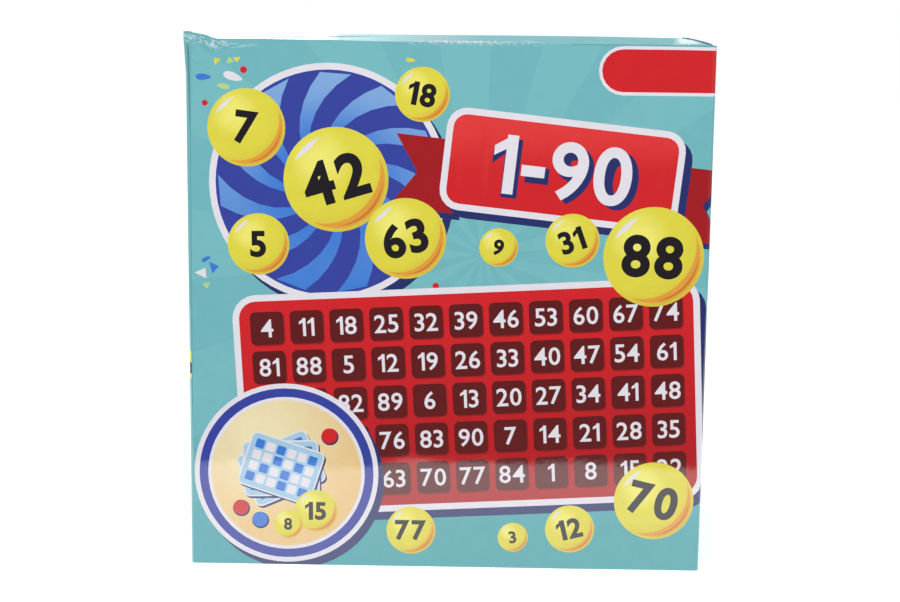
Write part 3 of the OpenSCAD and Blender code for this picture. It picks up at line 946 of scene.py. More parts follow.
@kept_material
def moulded_yellow_polystyrene():
    """High-gloss toy polystyrene in yellow."""
    return moulded_plastic("moulded_yellow_polystyrene", "yellow", 0.22, 0.3)


@kept_material
def mixed_chip_polystyrene():
    """Moulded chips whose colour changes from one chip to the next along the row."""
    material, tree = start_material("mixed_chip_polystyrene")
    coord = add_node(tree, "ShaderNodeTexCoord")
    split = add_node(tree, "ShaderNodeSeparateXYZ", None, {"Vector": coord.outputs["Object"]})
    # One chip with its gap, counted from half a gap before the first chip
    pitch, half_gap = 1.25, 0.025
    start = box_mm("marker_chips")[0].x - half_gap
    step = add_node(tree, "ShaderNodeMath", {"operation": "MULTIPLY_ADD"},
                    {0: split.outputs["X"], 1: per_metre(pitch), 2: -start / pitch})
    whole = add_node(tree, "ShaderNodeMath", {"operation": "FLOOR"}, {0: step.outputs["Value"]})
    pick = add_node(tree, "ShaderNodeTexWhiteNoise", {"noise_dimensions": "1D"},
                    {"W": whole.outputs["Value"]})
    ramp = add_node(tree, "ShaderNodeValToRGB", None, {"Fac": pick.outputs["Value"]})
    ramp.color_ramp.interpolation = "CONSTANT"
    stops = ramp.color_ramp.elements
    stops[0].color = rgba(PLASTIC["red"])
    stops[1].position = 0.25
    stops[1].color = rgba(PLASTIC["blue"])
    for at, key in ((0.5, "yellow"), (0.75, "green")):
        stops.new(at).color = rgba(PLASTIC[key])
    shader = add_node(tree, "ShaderNodeBsdfPrincipled", None, {
        "Base Color": ramp.outputs["Color"], "Roughness": 0.24, "IOR": 1.55})
    finish_material(tree, shader)
    return material


@kept_material
def drawn_steel_rod():
    """Bright drawn steel: a fine uneven grain and a soft grey shine."""
    material, tree = start_material("drawn_steel_rod")
    coord = add_node(tree, "ShaderNodeTexCoord")
    lines = add_node(tree, "ShaderNodeTexNoise", None,
                     {"Vector": coord.outputs["Object"], "Scale": per_metre(0.714), "Detail": 2.0})
    rough = add_node(tree, "ShaderNodeMapRange", None,
                     {"Value": lines.outputs["Fac"], "To Min": 0.24, "To Max": 0.38})
    shader = add_node(tree, "ShaderNodeBsdfPrincipled", None, {
        "Base Color": rgba("#c4c6ca"), "Metallic": 1.0, "Roughness": rough.outputs["Result"]})
    finish_material(tree, shader)
    return material


def board_materials():
    """Printed skin, cut edge and inner liner, in slot order."""
    return [film_laminated_litho(), bleached_cut_edge(), grey_back_liner()]


def dress(node, material):
    """Gives a CAD node its finish."""
    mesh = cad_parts[node].data
    if mesh.materials:
        for i in range(len(mesh.materials)):
            mesh.materials[i] = material
    else:
        mesh.materials.append(material)


# The print

# White outline and navy shadow of the print's larger shapes
OUTLINE_W = 3.4
SHADOW = (3.6, -4.2)


def sun_rays(drawing, x, y, count, reach, ink, turn=0.0):
    """Wedges that run out from a place, every other one left in the ground's ink."""
    step = 2 * math.pi / count
    for i in range(0, count, 2):
        a, b = turn + i * step, turn + (i + 1) * step
        drawing.add([(x, y), (x + reach * math.cos(a), y + reach * math.sin(a)),
                     (x + reach * math.cos(b), y + reach * math.sin(b))], ink)


def ringed_box(drawing, x, y, w, h, r, degrees, fill, rim=OUTLINE_W, drop=SHADOW):
    """A filled round-cornered box with a white outline and a navy shadow."""
    edge = round_box(w + 2 * rim, h + 2 * rim, r + rim)
    drawing.add(turned(edge, x + drop[0], y + drop[1], degrees), INK["navy"])
    drawing.add(turned(edge, x, y, degrees), INK["white"])
    drawing.add(turned(round_box(w, h, r), x, y, degrees), fill)


def ringed_disc(drawing, x, y, r, fill, rim=OUTLINE_W, drop=SHADOW):
    """A filled disc with a white outline and a navy shadow."""
    for dx, dy, reach, ink in ((*drop, r + rim, INK["navy"]), (0, 0, r + rim, INK["white"]),
                               (0, 0, r, fill)):
        drawing.disc(x + dx, y + dy, reach, ink, 64)


def pinwheel(drawing, x, y, r, blades, turn=0.0):
    """A blue wheel of curved blades with a white outline and a navy shadow."""
    ringed_disc(drawing, x, y, r, INK["blue"])
    bright, pale = linear(INK["blue_bright"]), linear(INK["blue_pale"])

    def sheen(px, py):
        share = math.hypot(px - x, py - y) / r
        return mix(bright, pale, 0.55 * smooth(0.35, 0.9, share) * (0.5 + 0.5 * (py - y) / r))
    steps, hub, length, twist = 7, 0.18, 0.80, 1.1
    wide = math.pi / blades
    for i in range(blades):
        start = turn + 2 * math.pi * i / blades
        edge_a, edge_b = [], []
        for k in range(steps + 1):
            share = hub + length * k / steps
            bend = twist * (1 - share)
            edge_a.append((share * r, start + bend))
            edge_b.append((share * r, start + bend + wide * (0.45 + 0.55 * share)))
        points = [(x + q * math.cos(a), y + q * math.sin(a)) for q, a in edge_a + edge_b[::-1]]
        drawing.add(points, sheen)
    drawing.disc(x, y, r * 0.2, INK["white"], 24)
    drawing.disc(x, y, r * 0.15, INK["navy"], 24)


def cell_places(columns, rows):
    """Row, column and middle of each cell of a grid one unit wide and high, from the top left."""
    return [(row, column, (column + 0.5) / columns - 0.5, 0.5 - (row + 0.5) / rows)
            for row in range(rows) for column in range(columns)]


def number_grid(drawing, x, y, w, h, degrees, columns, rows, first, step):
    """A red panel of dark cells, each with a plain number."""
    glow, body = linear(INK["red"]), linear(INK["red_deep"])
    gap, rim, corner_r, cell_r = 0.16, 4.0, 9, 2.6

    def panel_ink(px, py):
        return mix(glow, body, 0.75 * smooth(-0.5, 0.6, (y - py) / h + 0.15 * (px - x) / w))
    ringed_box(drawing, x, y, w, h, corner_r, degrees, panel_ink)
    cell_w, cell_h = (w - 2 * rim) / columns, (h - 2 * rim) / rows
    cell = round_box(cell_w * (1 - gap), cell_h * (1 - gap), cell_r, 3)
    number = first
    for _, _, across, up in cell_places(columns, rows):
        cx, cy = across * (w - 2 * rim), up * (h - 2 * rim)
        at = turned([(cx, cy)], x, y, degrees)[0]
        # A lighter edge low on the right sinks the cell into the panel
        low = turned([(cx + 0.5, cy - 0.7)], x, y, degrees)[0]
        drawing.add(turned(cell, *low, degrees), INK["red_deep"])
        drawing.add(turned(cell, *at, degrees), INK["maroon"])
        drawing.numeral(str(number), *at, cell_h * 0.46, INK["white"], degrees)
        number = 1 + (number - 1 + step) % 90


def banner(drawing, x, y, w, h, degrees, text):
    """A red ribbon with cut tails, an outline, a shadow and large plain numerals."""
    tail = h * 0.62
    for side in (-1, 1):
        root, notch, tip = (side * (w / 2 + out) for out in (-6, tail * 0.55, tail))
        tails = [(root, -tail), (tip, -tail), (notch, -h * 0.2), (tip, h * 0.2), (root, h * 0.2)]
        drawing.add(turned([(px + 2.5, py - 3) for px, py in tails], x, y, degrees), INK["navy"])
        drawing.add(turned(tails, x, y, degrees), INK["red_deep"])
    glow, body = linear(INK["banner_glow"]), linear(INK["red"])

    def sheen(px, py):
        return mix(body, glow, smooth(-0.1, 0.5, (py - y) / h))
    ringed_box(drawing, x, y, w, h, 7, degrees, sheen)
    high = h * 0.66
    shadow = turned([(1.6, -1.9)], x, y, degrees)[0]
    drawing.numeral(text, *shadow, high, INK["navy"], degrees, 0.05)
    drawing.numeral(text, x, y, high, INK["white"], degrees, 0.02)


def card_fan(drawing, x, y, w, h, angles):
    """Light blue cards spread like a hand, each with rows of cells."""
    cell = round_box(w * 0.12, h * 0.17, 0.6, 2)
    for degrees in angles:
        ringed_box(drawing, x, y, w, h, 2.5, degrees, INK["blue_pale"], 0.8, (0.8, -1))
        for row, column, across, up in cell_places(6, 4):
            at = turned([(across * w * 0.9, -up * h * 0.86)], x, y, degrees)[0]
            filled = (row * 5 + column * 3) % 7 < 3
            drawing.add(turned(cell, *at, degrees), INK["blue_bright" if filled else "white"])


def round_window(drawing, x, y, r):
    """A round picture with a blue ring: cards, chips and two balls on a cream ground."""
    ringed_disc(drawing, x, y, r, INK["blue"], 2.6, (3, -3.6))
    drawing.disc(x, y, r * 0.9, INK["white"], 56)
    cream, warm = linear(INK["cream"]), linear(INK["orange"])

    def ground(px, py):
        away = math.hypot(px - x + 0.3 * r, py - y - 0.4 * r) / r
        return mix(cream, warm, 0.5 * smooth(0, 1.3, away))
    drawing.disc(x, y, r * 0.86, ground, 56)
    card_fan(drawing, x - 0.06 * r, y + 0.06 * r, r * 0.84, r * 0.62, (24, 2, -18))
    for dx, dy, chip in ((-0.52, -0.42, "red"), (-0.3, -0.56, "blue_bright"), (0.5, 0.44, "red")):
        drawing.disc(x + dx * r, y + dy * r, r * 0.1, INK["navy"], 20)
        drawing.disc(x + dx * r - 0.3, y + dy * r + 0.5, r * 0.09, INK[chip], 20)
    drawing.ball(x + 0.34 * r, y - 0.44 * r, r * 0.25, 15)
    drawing.ball(x + 0.02 * r, y - 0.6 * r, r * 0.17, 8)


def confetti(drawing, count, low, high, keep_out, seed):
    """Small loose discs, leaves and flakes, clear of the larger shapes."""
    draw = random.Random(seed)
    inks = ("leaf", "leaf", "yellow", "white", "red", "blue_bright")
    tries_each, clear, leaf_points = 20, 1.5, 14
    placed = 0
    for _ in range(count * tries_each):
        if placed == count:
            break
        x, y = draw.uniform(low[0], high[0]), draw.uniform(low[1], high[1])
        size, kind, turn = draw.uniform(1.6, 3.6), draw.randrange(3), draw.uniform(0, 360)
        ink = INK[draw.choice(inks)]
        if any(math.hypot(x - kx, y - ky) < kr + size + clear for kx, ky, kr in keep_out):
            continue
        if kind == 0:
            drawing.disc(x, y, size * 0.62, ink, 16)
        elif kind == 1:
            leaf = [(size * 1.5 * math.cos(a), size * 0.6 * math.sin(a) * (1 - 0.3 * math.cos(a)))
                    for a in (2 * math.pi * i / leaf_points for i in range(leaf_points))]
            drawing.add(turned(leaf, x, y, turn), ink)
        else:
            flake = [(-size, -size * 0.5), (size, -size * 0.3), (0, size)]
            drawing.add(turned(flake, x, y, turn), ink)
        placed += 1


def grid_points(low, high, step):
    """Extra points over a rectangle, for a place that creases."""
    columns, rows = int((high[0] - low[0]) / step), int((high[1] - low[1]) / step)
    return [(low[0] + i * step, low[1] + j * step)
            for i in range(columns + 1) for j in range(rows + 1)]


def crease_lines(high):
    """Lines that round off the two upright creases of a wide wall, and points along them."""
    places = [side * (FLAT_HALF + CREASE_ARC * share) for side in (-1, 1)
              for share in (0, 0.2, 0.4, 0.6, 0.8)]
    rows = int(high / 8)
    return ([((x, -1), (x, high + 2)) for x in places],
            [(x, high * j / rows) for x in places for j in range(rows + 1)])


def sky(ink):
    """Ground ink with painted shade: darker towards the foot of a wall, where less light falls."""
    foot, body = linear(INK["aqua_foot_shade"]), linear(INK[ink])
    return lambda px, py: mix(foot, body, smooth(18, 82, py))


def front_top(x, frayed):
    """Height of the front wall's top edge at a place, with or without its worn paper's fibres."""
    worn = smooth(WORN_LOW, WORN_LOW + 16, x) * (1 - smooth(WORN_HIGH - 40, WORN_HIGH - 2, x))
    # The edge stands a little above the CAD panel's, and more so towards the left
    top = HEIGHT + 0.45 + 0.55 * (1 - smooth(-70, -30, x)) + 0.3 * worn
    if frayed:
        fibres = [max(0, noise.noise(Vector((x * often, 7, 0)))) for often in (1.1, 2.6)]
        top += worn * 1.5 * sum(fibres)
    return top


def front_ground(frayed):
    """Unrolled outline of the front wall, with its uneven top edge."""
    reach, steps = UNROLLED_HALF, 560
    xs = [reach - 2 * reach * i / steps for i in range(steps + 1)]
    return [(-reach, 0), (reach, 0)] + [(x, front_top(x, frayed)) for x in xs]


def left_strip(drawing, high):
    """The left wall's print where it runs round the upright crease on to the front."""
    top, low = -FLAT_HALF - 0.2, -FLAT_HALF - 1.4
    end, dark = -HALF_W - CREASE_R, 0.5
    # A thin darker line along the fold is painted shade of the crease
    drawing.add([(end, -1), (low + dark, -1), (top + dark, high), (end, high)], INK["aqua_fold_print_and_shade"])
    drawing.add([(end, -1), (low, -1), (top, high), (end, high)], INK["aqua"])
    for z, r, ink in ((108, 9, "yellow"), (106, 3.4, "black")):
        fold = low + (top - low) * z / high
        drawing.add([(min(x, fold), y) for x, y in circle(fold - r * 0.62, z, r, 32)], INK[ink])


# Balls of the print: place across and up the wall, radius and number
FRONT_BALLS = (
    (-104, 232, 20, 7), (-58, 206, 27, 42), (-14, 250, 14, 18), (-22, 176, 21, 63),
    (-98, 172, 16, 5), (106, 168, 26, 88), (64, 176, 14, 31), (26, 172, 10, 9),
    (110, 38, 21, 70), (66, 22, 13, 12), (36, 17, 8, 3), (-18, 20, 13, 77),
)
BACK_BALLS = (
    (-104, 40, 20, 11), (-66, 26, 14, 36), (104, 38, 21, 52), (68, 28, 13, 4),
    (-108, 258, 11, 60), (110, 256, 12, 29),
)
LEFT_BALLS = (
    (66, 113, 14, 56), (-30, 210, 26, 33), (24, 226, 15, 2), (-2, 160, 18, 81), (-44, 40, 20, 19),
    (10, 30, 13, 45),
)
RIGHT_BALLS = (
    (-40, 214, 22, 14), (14, 226, 28, 68), (44, 176, 14, 50), (-8, 170, 17, 27), (40, 44, 22, 6),
    (-20, 30, 14, 73),
)
# The same for the lid, forward from the hinge line
LID_BALLS = (
    (-98, 44, 24, 22), (-58, 110, 17, 39), (96, 40, 21, 90), (64, 104, 26, 13), (0, 66, 34, 48),
    (112, 112, 14, 1),
)


def front_drawing():
    """The front: wheel, ribbon, number panel, round window, balls and confetti."""
    sizes = bpy.context.scene.print_sizes
    drawing = Drawing(front_ground(True), sky("aqua"))
    sun_rays(drawing, 18, 168, 26, 320, sky("aqua_light"), 0.1)
    keep_out = [(-62, 204, 66), (48, 214, 74), (100, 214, 44), (0, 216, 40), (112, 262, 44)]
    keep_out += [(x, y, r) for x, y, r, _ in FRONT_BALLS]
    confetti(drawing, sizes.confetti, (-128, 150), (128, 268), keep_out, 4)
    pinwheel(drawing, -62, 204, 58, 11, 0.2)
    number_grid(drawing, 12, 92, 236, 112, 3.2, 11, 5, 4, 7)
    banner(drawing, 58, 212, 116, 46, -6, "1-90")
    above = HEIGHT + 4
    drawing.add(rectangle(WORN_LOW, HEIGHT + 0.55, WORN_HIGH, above), INK["white"])
    # Painted shadow along the top edge above the red pill, where the lid's gap shades it
    drawing.add([(62, HEIGHT - 0.05), (HALF_W, HEIGHT - 0.05), (HALF_W, HEIGHT + 1),
                 (56, HEIGHT + 1)], INK["aqua_fold_print_and_shade"])
    ringed_box(drawing, 114, 263.2, 74, 21.6, 10.8, 0, INK["red"], 1.65, (0, 0))
    round_window(drawing, -84, 50, 46)
    drawing.balls(FRONT_BALLS, sizes.ball_scale)
    left_strip(drawing, above)
    # Cracks of the film at the crushed corner, with dark slivers of painted shade in its crinkles, and
    # specks along the worn edge
    corner = (-HALF_W, HEIGHT - 4), (-HALF_W + 22, HEIGHT - 0.3)
    drawing.scuffs(3, 60, *corner, 4, 0.5, -14, 30, INK["crack"])
    drawing.scuffs(5, 12, *corner, 4, 0.3, 20, 40, INK["aqua_edge_shade"])
    drawing.scuffs(6, 24, *corner, 2.4, 0.4, 0, 90, INK["white"])
    drawing.scuffs(8, 9, (-HALF_W + 20, HEIGHT - 3.5), (-HALF_W + 42, HEIGHT - 1.5), 12, 0.3, 5, 4,
                   INK["crack"])
    drawing.scuffs(9, 90, (WORN_LOW + 2, HEIGHT - 0.9), (WORN_HIGH - 2, HEIGHT + 0.3), 1.4, 0.3, 0,
                   60, INK["crack"])
    drawing.scuffs(14, 90, (WORN_LOW + 8, HEIGHT - 0.3), (WORN_HIGH - 10, HEIGHT + 0.5), 1.1, 0.4, 0,
                   60, INK["white"])
    return drawing


# Operators


class BOXEDSET_OT_front(Operator):
    """Front wall with the main print and its crushed corner"""
    bl_idname = "boxedset.front"
    bl_label = "Front wall"

    def execute(self, context):
        reach, inset, below_top = carton().corner_reach + 6, 0.4, 0.15
        lines, fine = crease_lines(HEIGHT - 1)
        fine += grid_points((-HALF_W + inset, HEIGHT - reach), (-HALF_W + reach, HEIGHT - inset),
                            WORN_STEP)
        drawing = front_drawing()
        drawing.bends(lines)
        made = board_piece("front_wall", drawing, on_wide_wall(-1, carton().front_bow),
                           context.scene.print_sizes.grid_step, fine,
                           [(FLAT_HALF, lambda u: front_top(u, False) - below_top)],
                           front_ground(False))
        settle(made, "carton", "printed_board", "front_panel")
        return {"FINISHED"}


class BOXEDSET_OT_back(Operator):
    """Back wall with a plain table of numbers"""
    bl_idname = "boxedset.back"
    bl_label = "Back wall"

    def execute(self, context):
        high = HEIGHT - CREASE_DROP
        drawing = Drawing(rectangle(-UNROLLED_HALF, 0, UNROLLED_HALF, high), sky("aqua"))
        sun_rays(drawing, 0, 150, 26, 320, sky("aqua_light"))
        number_grid(drawing, 0, 158, 226, 176, 0, 10, 9, 1, 1)
        drawing.balls(BACK_BALLS)
        banner(drawing, 0, 34, 62, 24, 0, "1-90")
        lines, fine = crease_lines(high)
        drawing.bends(lines)
        made = board_piece("back_wall", drawing, on_wide_wall(1, carton().back_bow),
                           context.scene.print_sizes.grid_step, fine)
        settle(made, "carton", "printed_board", "back_panel")
        return {"FINISHED"}


class BOXEDSET_OT_sides(Operator):
    """Left and right walls with a column of balls"""
    bl_idname = "boxedset.sides"
    bl_label = "Side walls"

    def execute(self, context):
        # The board rises in a shoulder at each end of the dust flap's crease
        high, shoulder, clear = SIDE_TOP, SIDE_HIGH.z + 1.2, 0.3
        reach = SIDE_HIGH.y
        for side, name, balls in ((-1, "left", LEFT_BALLS), (1, "right", RIGHT_BALLS)):
            near, far = sorted((FLAP_LOW.y * side, FLAP_HIGH.y * side))
            near, far = near - clear, far + clear
            drawing = Drawing([(-reach, 0), (reach, 0), (reach, shoulder), (far, shoulder),
                               (far, high), (near, high), (near, shoulder), (-reach, shoulder)],
                              sky("aqua"))
            sun_rays(drawing, 0, 170, 22, 300, sky("aqua_light"), 0.05)
            number_grid(drawing, 0, 96, 118, 66, -3 * side, 5, 3, 11, 13)
            drawing.balls(balls)
            made = board_piece(name + "_wall", drawing, on_side_wall(side),
                               context.scene.print_sizes.grid_step)
            settle(made, "carton", "printed_board", name + "_panel")
        return {"FINISHED"}


class BOXEDSET_OT_lid(Operator):
    """Lid and tongue in one piece of board, with the printed crease at the hinge"""
    bl_idname = "boxedset.lid"
    bl_label = "Lid"
    HINGE_BEND_R = 1.0
    TONGUE_R = 14

    def execute(self, context):
        half, start = LID_HIGH.x, CREASE_CLEAR
        cut = 4 * BOARD_T / math.sqrt(2)
        tip = (LID_BEND_START + LID_BEND_ARC
               + (HEIGHT - LID_BEND_R - TONGUE_LOW.z) / math.cos(TONGUE_LEAN))
        drawing = self.drawing(half, start, cut, tip)
        steps, shares = 60, (0, 0.17, 0.33, 0.5, 0.67, 0.83, 1)
        places = [LID_BEND_START + LID_BEND_ARC * share for share in shares]
        tongue_half = TONGUE_HIGH.x
        fine = [(-tongue_half + 2 * tongue_half * i / steps, at)
                for i in range(steps + 1) for at in places]
        fine += grid_points((WORN_LOW - 2, LID_BEND_START - 17), (WORN_HIGH, LID_BEND_START - 0.5),
                            WORN_STEP)
        # The fold at the right end is smoother than the worn stretch
        fold_step = 2.0
        fine += grid_points((half - 40, LID_BEND_START - 18), (half - 1, LID_BEND_START - 2),
                            fold_step)
        drawing.bends_across(-half, half, places)
        made = board_piece("lid", drawing, on_lid, context.scene.print_sizes.grid_step, fine,
                           [(tongue_half - self.TONGUE_R, lambda u: tip - 0.1)])
        settle(made, "lid", "printed_board", "top_lid", "lid_tongue")
        self.crease(half, start)
        self.inner_lip(half)
        self.cut_edge(half, start, LID_BEND_START - cut)
        return {"FINISHED"}

    def drawing(self, half, start, cut, tip):
        """The lid's print, tone on tone: the photograph's grazing view of it shows no other ink."""
        bend, tongue_half, r = LID_BEND_START, TONGUE_HIGH.x, self.TONGUE_R
        outline = [(-half, start), (half, start), (half, bend - cut), (tongue_half, bend)]
        for side, from_deg in ((1, 0), (-1, 90)):
            for i in range(9):
                a = math.radians(from_deg + 90 * i / 8)
                outline.append((side * (tongue_half - r) + r * math.cos(a),
                                tip - r + r * math.sin(a)))
        outline += [(-tongue_half, bend), (-half, bend - cut)]
        drawing = Drawing(outline, INK["aqua"])
        sun_rays(drawing, 0, 70, 26, 320, INK["aqua_light"])
        for x, y, r, number in LID_BALLS:
            drawing.disc(x, y, r, INK["aqua_fold_print_and_shade"])
            drawing.disc(x, y, r * 0.93, INK["aqua_light"])
            drawing.numeral(str(number), x, y, r * 0.9, INK["aqua_fold_print_and_shade"], 0, 0.035, -1)
        drawing.add(rectangle(-half, bend - 12, half, tip + 1), INK["aqua"])
        # A dark teal strip along the lid's right edge: painted shade of the gap beside the lid
        drawing.add(rectangle(half - 0.8, start - 1, half + 1, tip), INK["aqua_edge_shade"])
        drawing.scuffs(12, 110, (WORN_LOW + 2, bend - 1), (WORN_HIGH - 4, bend + 3), 1.7, 0.45, 0, 50,
                       INK["white"])
        drawing.scuffs(13, 40, (-62, bend - 2), (-20, bend + 2), 3.0, 0.4, 0, 20, INK["crack"])
        return drawing

    def crease(self, half, start):
        """Printed skin of the crease, from the back wall to the lid's own board."""
        bend_r = self.HINGE_BEND_R
        low = CREASE_DROP
        straight = low - bend_r
        arc = bend_r * math.pi / 2
        end = straight + arc + start - bend_r

        def place(x, v):
            if v <= straight:
                return Vector((x, HINGE_Y, HEIGHT - low + v)), Vector((0, 1, 0))
            a = min((v - straight) / bend_r, math.pi / 2)
            out = Vector((0, math.cos(a), math.sin(a)))
            point = Vector((x, HINGE_Y - bend_r, HEIGHT - bend_r)) + out * bend_r
            if v > straight + arc:
                point.y -= v - straight - arc
            return point, out
        drawing = Drawing(rectangle(-half, 0, half, end), INK["aqua"])
        # In the middle third of the bend the print has cracked off the paper
        low_fold, high_fold = straight + arc / 3, straight + arc * 2 / 3
        drawing.add(rectangle(-half, low_fold, half, high_fold), INK["bare_paper"])
        drawing.bends_across(-half, half, [straight + arc * share for share in (0, 0.17, 0.5, 0.83, 1)])
        made = sheet_piece("lid_crease", drawing, place, 2.0, (0, carton().crease_t),
                           board_materials(), (0, 2, 1))
        ends = [place(0, v)[0] * MM for v in (low_fold, high_fold)]
        tuple(ends[0])
        tuple(ends[1])
        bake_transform(made)

    def inner_lip(self, half):
        """Edge of the back wall's liner, which hides the folded crease when the lid stands open."""
        liner_t, lip_r, rise = 0.15, 0.5, 4.0
        end = rise + lip_r * math.pi / 2
        inward = self.HINGE_BEND_R

        def place(x, v):
            a = max(0, v - rise) / lip_r
            out = Vector((0, math.cos(a), math.sin(a)))
            centre = Vector((x, HINGE_Y - inward, HEIGHT - inward - max(0, rise - v)))
            return centre + out * lip_r, out
        drawing = Drawing(rectangle(-half, 0, half, end), INK["white"])
        drawing.bends_across(-half - 1, half + 1, [rise + (end - rise) * k / 4 for k in range(4)])
        made = sheet_piece("lid_inner_lip", drawing, place, 4.0, (0, liner_t), [grey_back_liner()])
        settle(made, "carton", "raw_board")

    def cut_edge(self, half, start, end):
        """A lip raised along the lid's right cut edge, printed dark: painted shade of the gap beside
        the lid.
        """
        rise, low, paper_t, inset = 0.45, 0.2, 0.3, 0.4

        def place(v, h):
            return on_lid(half - inset, v)[0] + UP * h, Vector((-1, 0, 0))
        drawing = Drawing([(start, -low), (end, -low), (end, low), (end - 8, rise), (start + 3, rise),
                           (start, low)], INK["aqua_edge_shade"])
        made = sheet_piece("lid_raised_shade_edge", drawing, place, 4.0, (0, paper_t), [knife_raised_print()])
        settle(made, "lid", "printed_board")


class BOXEDSET_OT_flaps(Operator):
    """Dust flaps under the lid, the glued strip and the bottom flaps"""
    bl_idname = "boxedset.flaps"
    bl_label = "Flaps"

    def execute(self, context):
        step = 9
        edge = HALF_W - CREASE_CLEAR
        for side, name, body in ((-1, "left_dust_flap", "left_flap"),
                                 (1, "right_dust_flap", "right_flap")):
            outline = [(max(-edge, min(edge, x)), y) for x, y in node_outline(name)]
            made = board_piece(name + "_board", Drawing(outline, INK["aqua"]),
                               flat_board(FLAP_HIGH.z), step)
            settle(made, body, "printed_board", name)
            self.crease(side, name + "_crease", body)
        for name in ("bottom_back_flap", "bottom_left_flap", "bottom_right_flap"):
            made = board_piece(name + "_board", Drawing(node_outline(name), INK["white"]),
                               flat_board(box_mm(name)[1].z), step)
            settle(made, "carton", "raw_board", name)
        drawing = Drawing(node_outline("bottom_front_flap", -1), INK["aqua"])
        made = board_piece("bottom_board", drawing, flat_board(0, -1), step)
        settle(made, "carton", "printed_board", "bottom_front_flap")
        dress("glue_flap", grey_back_liner())
        return {"FINISHED"}

    def crease(self, side, name, body):
        """Printed skin of a dust flap's crease, from the side wall to the flap's own board."""
        wall = on_side_wall(side)
        bend_r, overlap = 2.0, 0.6
        low = SIDE_TOP
        straight = FLAP_HIGH.z - bend_r - low
        arc = bend_r * math.pi / 2
        end = straight + arc + CREASE_CLEAR - bend_r + overlap

        def place(t, v):
            base = wall(t, low + min(v, straight))[0]
            if v <= straight:
                return base, Vector((side, 0, 0))
            a = min((v - straight) / bend_r, math.pi / 2)
            out = Vector((side * math.sin(math.pi / 2 - a), 0, math.sin(a)))
            point = Vector((side * (HALF_W - bend_r), t * side, FLAP_HIGH.z - bend_r)) + out * bend_r
            point.x -= side * max(0, v - straight - arc)
            # The side wall's swell fades out along the bend
            past = a / (math.pi / 2)
            point.x += (base.x - side * HALF_W) * (1 - past)
            point.z += (base.z - low - straight) * (1 - past)
            return point, out
        near, far = sorted((FLAP_LOW.y * side, FLAP_HIGH.y * side))
        drawing = Drawing(rectangle(near, 0, far, end), INK["aqua"])
        drawing.bends_across(near - 1, far + 1,
                             [straight + arc * share for share in (0, 0.2, 0.4, 0.6, 0.8, 1)])
        made = sheet_piece(name, drawing, place, 2.0, (0, carton().crease_t), board_materials(),
                           (0, 2, 1))
        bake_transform(made)


class BOXEDSET_OT_machine(Operator):
    """Finishes of the number board, chute, uprights, cage and crank"""
    bl_idname = "boxedset.machine"
    bl_label = "Machine"

    def execute(self, context):
        finishes = {
            "number_board": moulded_red_polystyrene, "ball_chute": moulded_black_abs,
            "left_upright": moulded_black_abs, "right_upright": moulded_black_abs,
            "cage_left_half": moulded_blue_polystyrene,
            "cage_right_half": moulded_blue_polystyrene,
            "ball_outlet": moulded_black_abs, "crank_arm": moulded_black_abs,
            "left_axle": drawn_steel_rod, "right_axle": drawn_steel_rod,
            "knob_pin": drawn_steel_rod, "crank_knob": moulded_yellow_polystyrene,
        }
        for name, finish in finishes.items():
            dress(name, finish())
        return {"FINISHED"}


def joined(links):
    """Groups of the numbers that the links join up."""
    leader = {}

    def lead(i):
        while leader.setdefault(i, i) != i:
            leader[i] = leader[leader[i]]
            i = leader[i]
        return i
    for a, b in links:
        leader[lead(a)] = lead(b)
    groups = {}
    for i in leader:
        groups.setdefault(lead(i), []).append(i)
    return list(groups.values())


# Depths of a thin printed layer, outside the face that it lies on
INK_LAYER = (-0.05, -0.01)


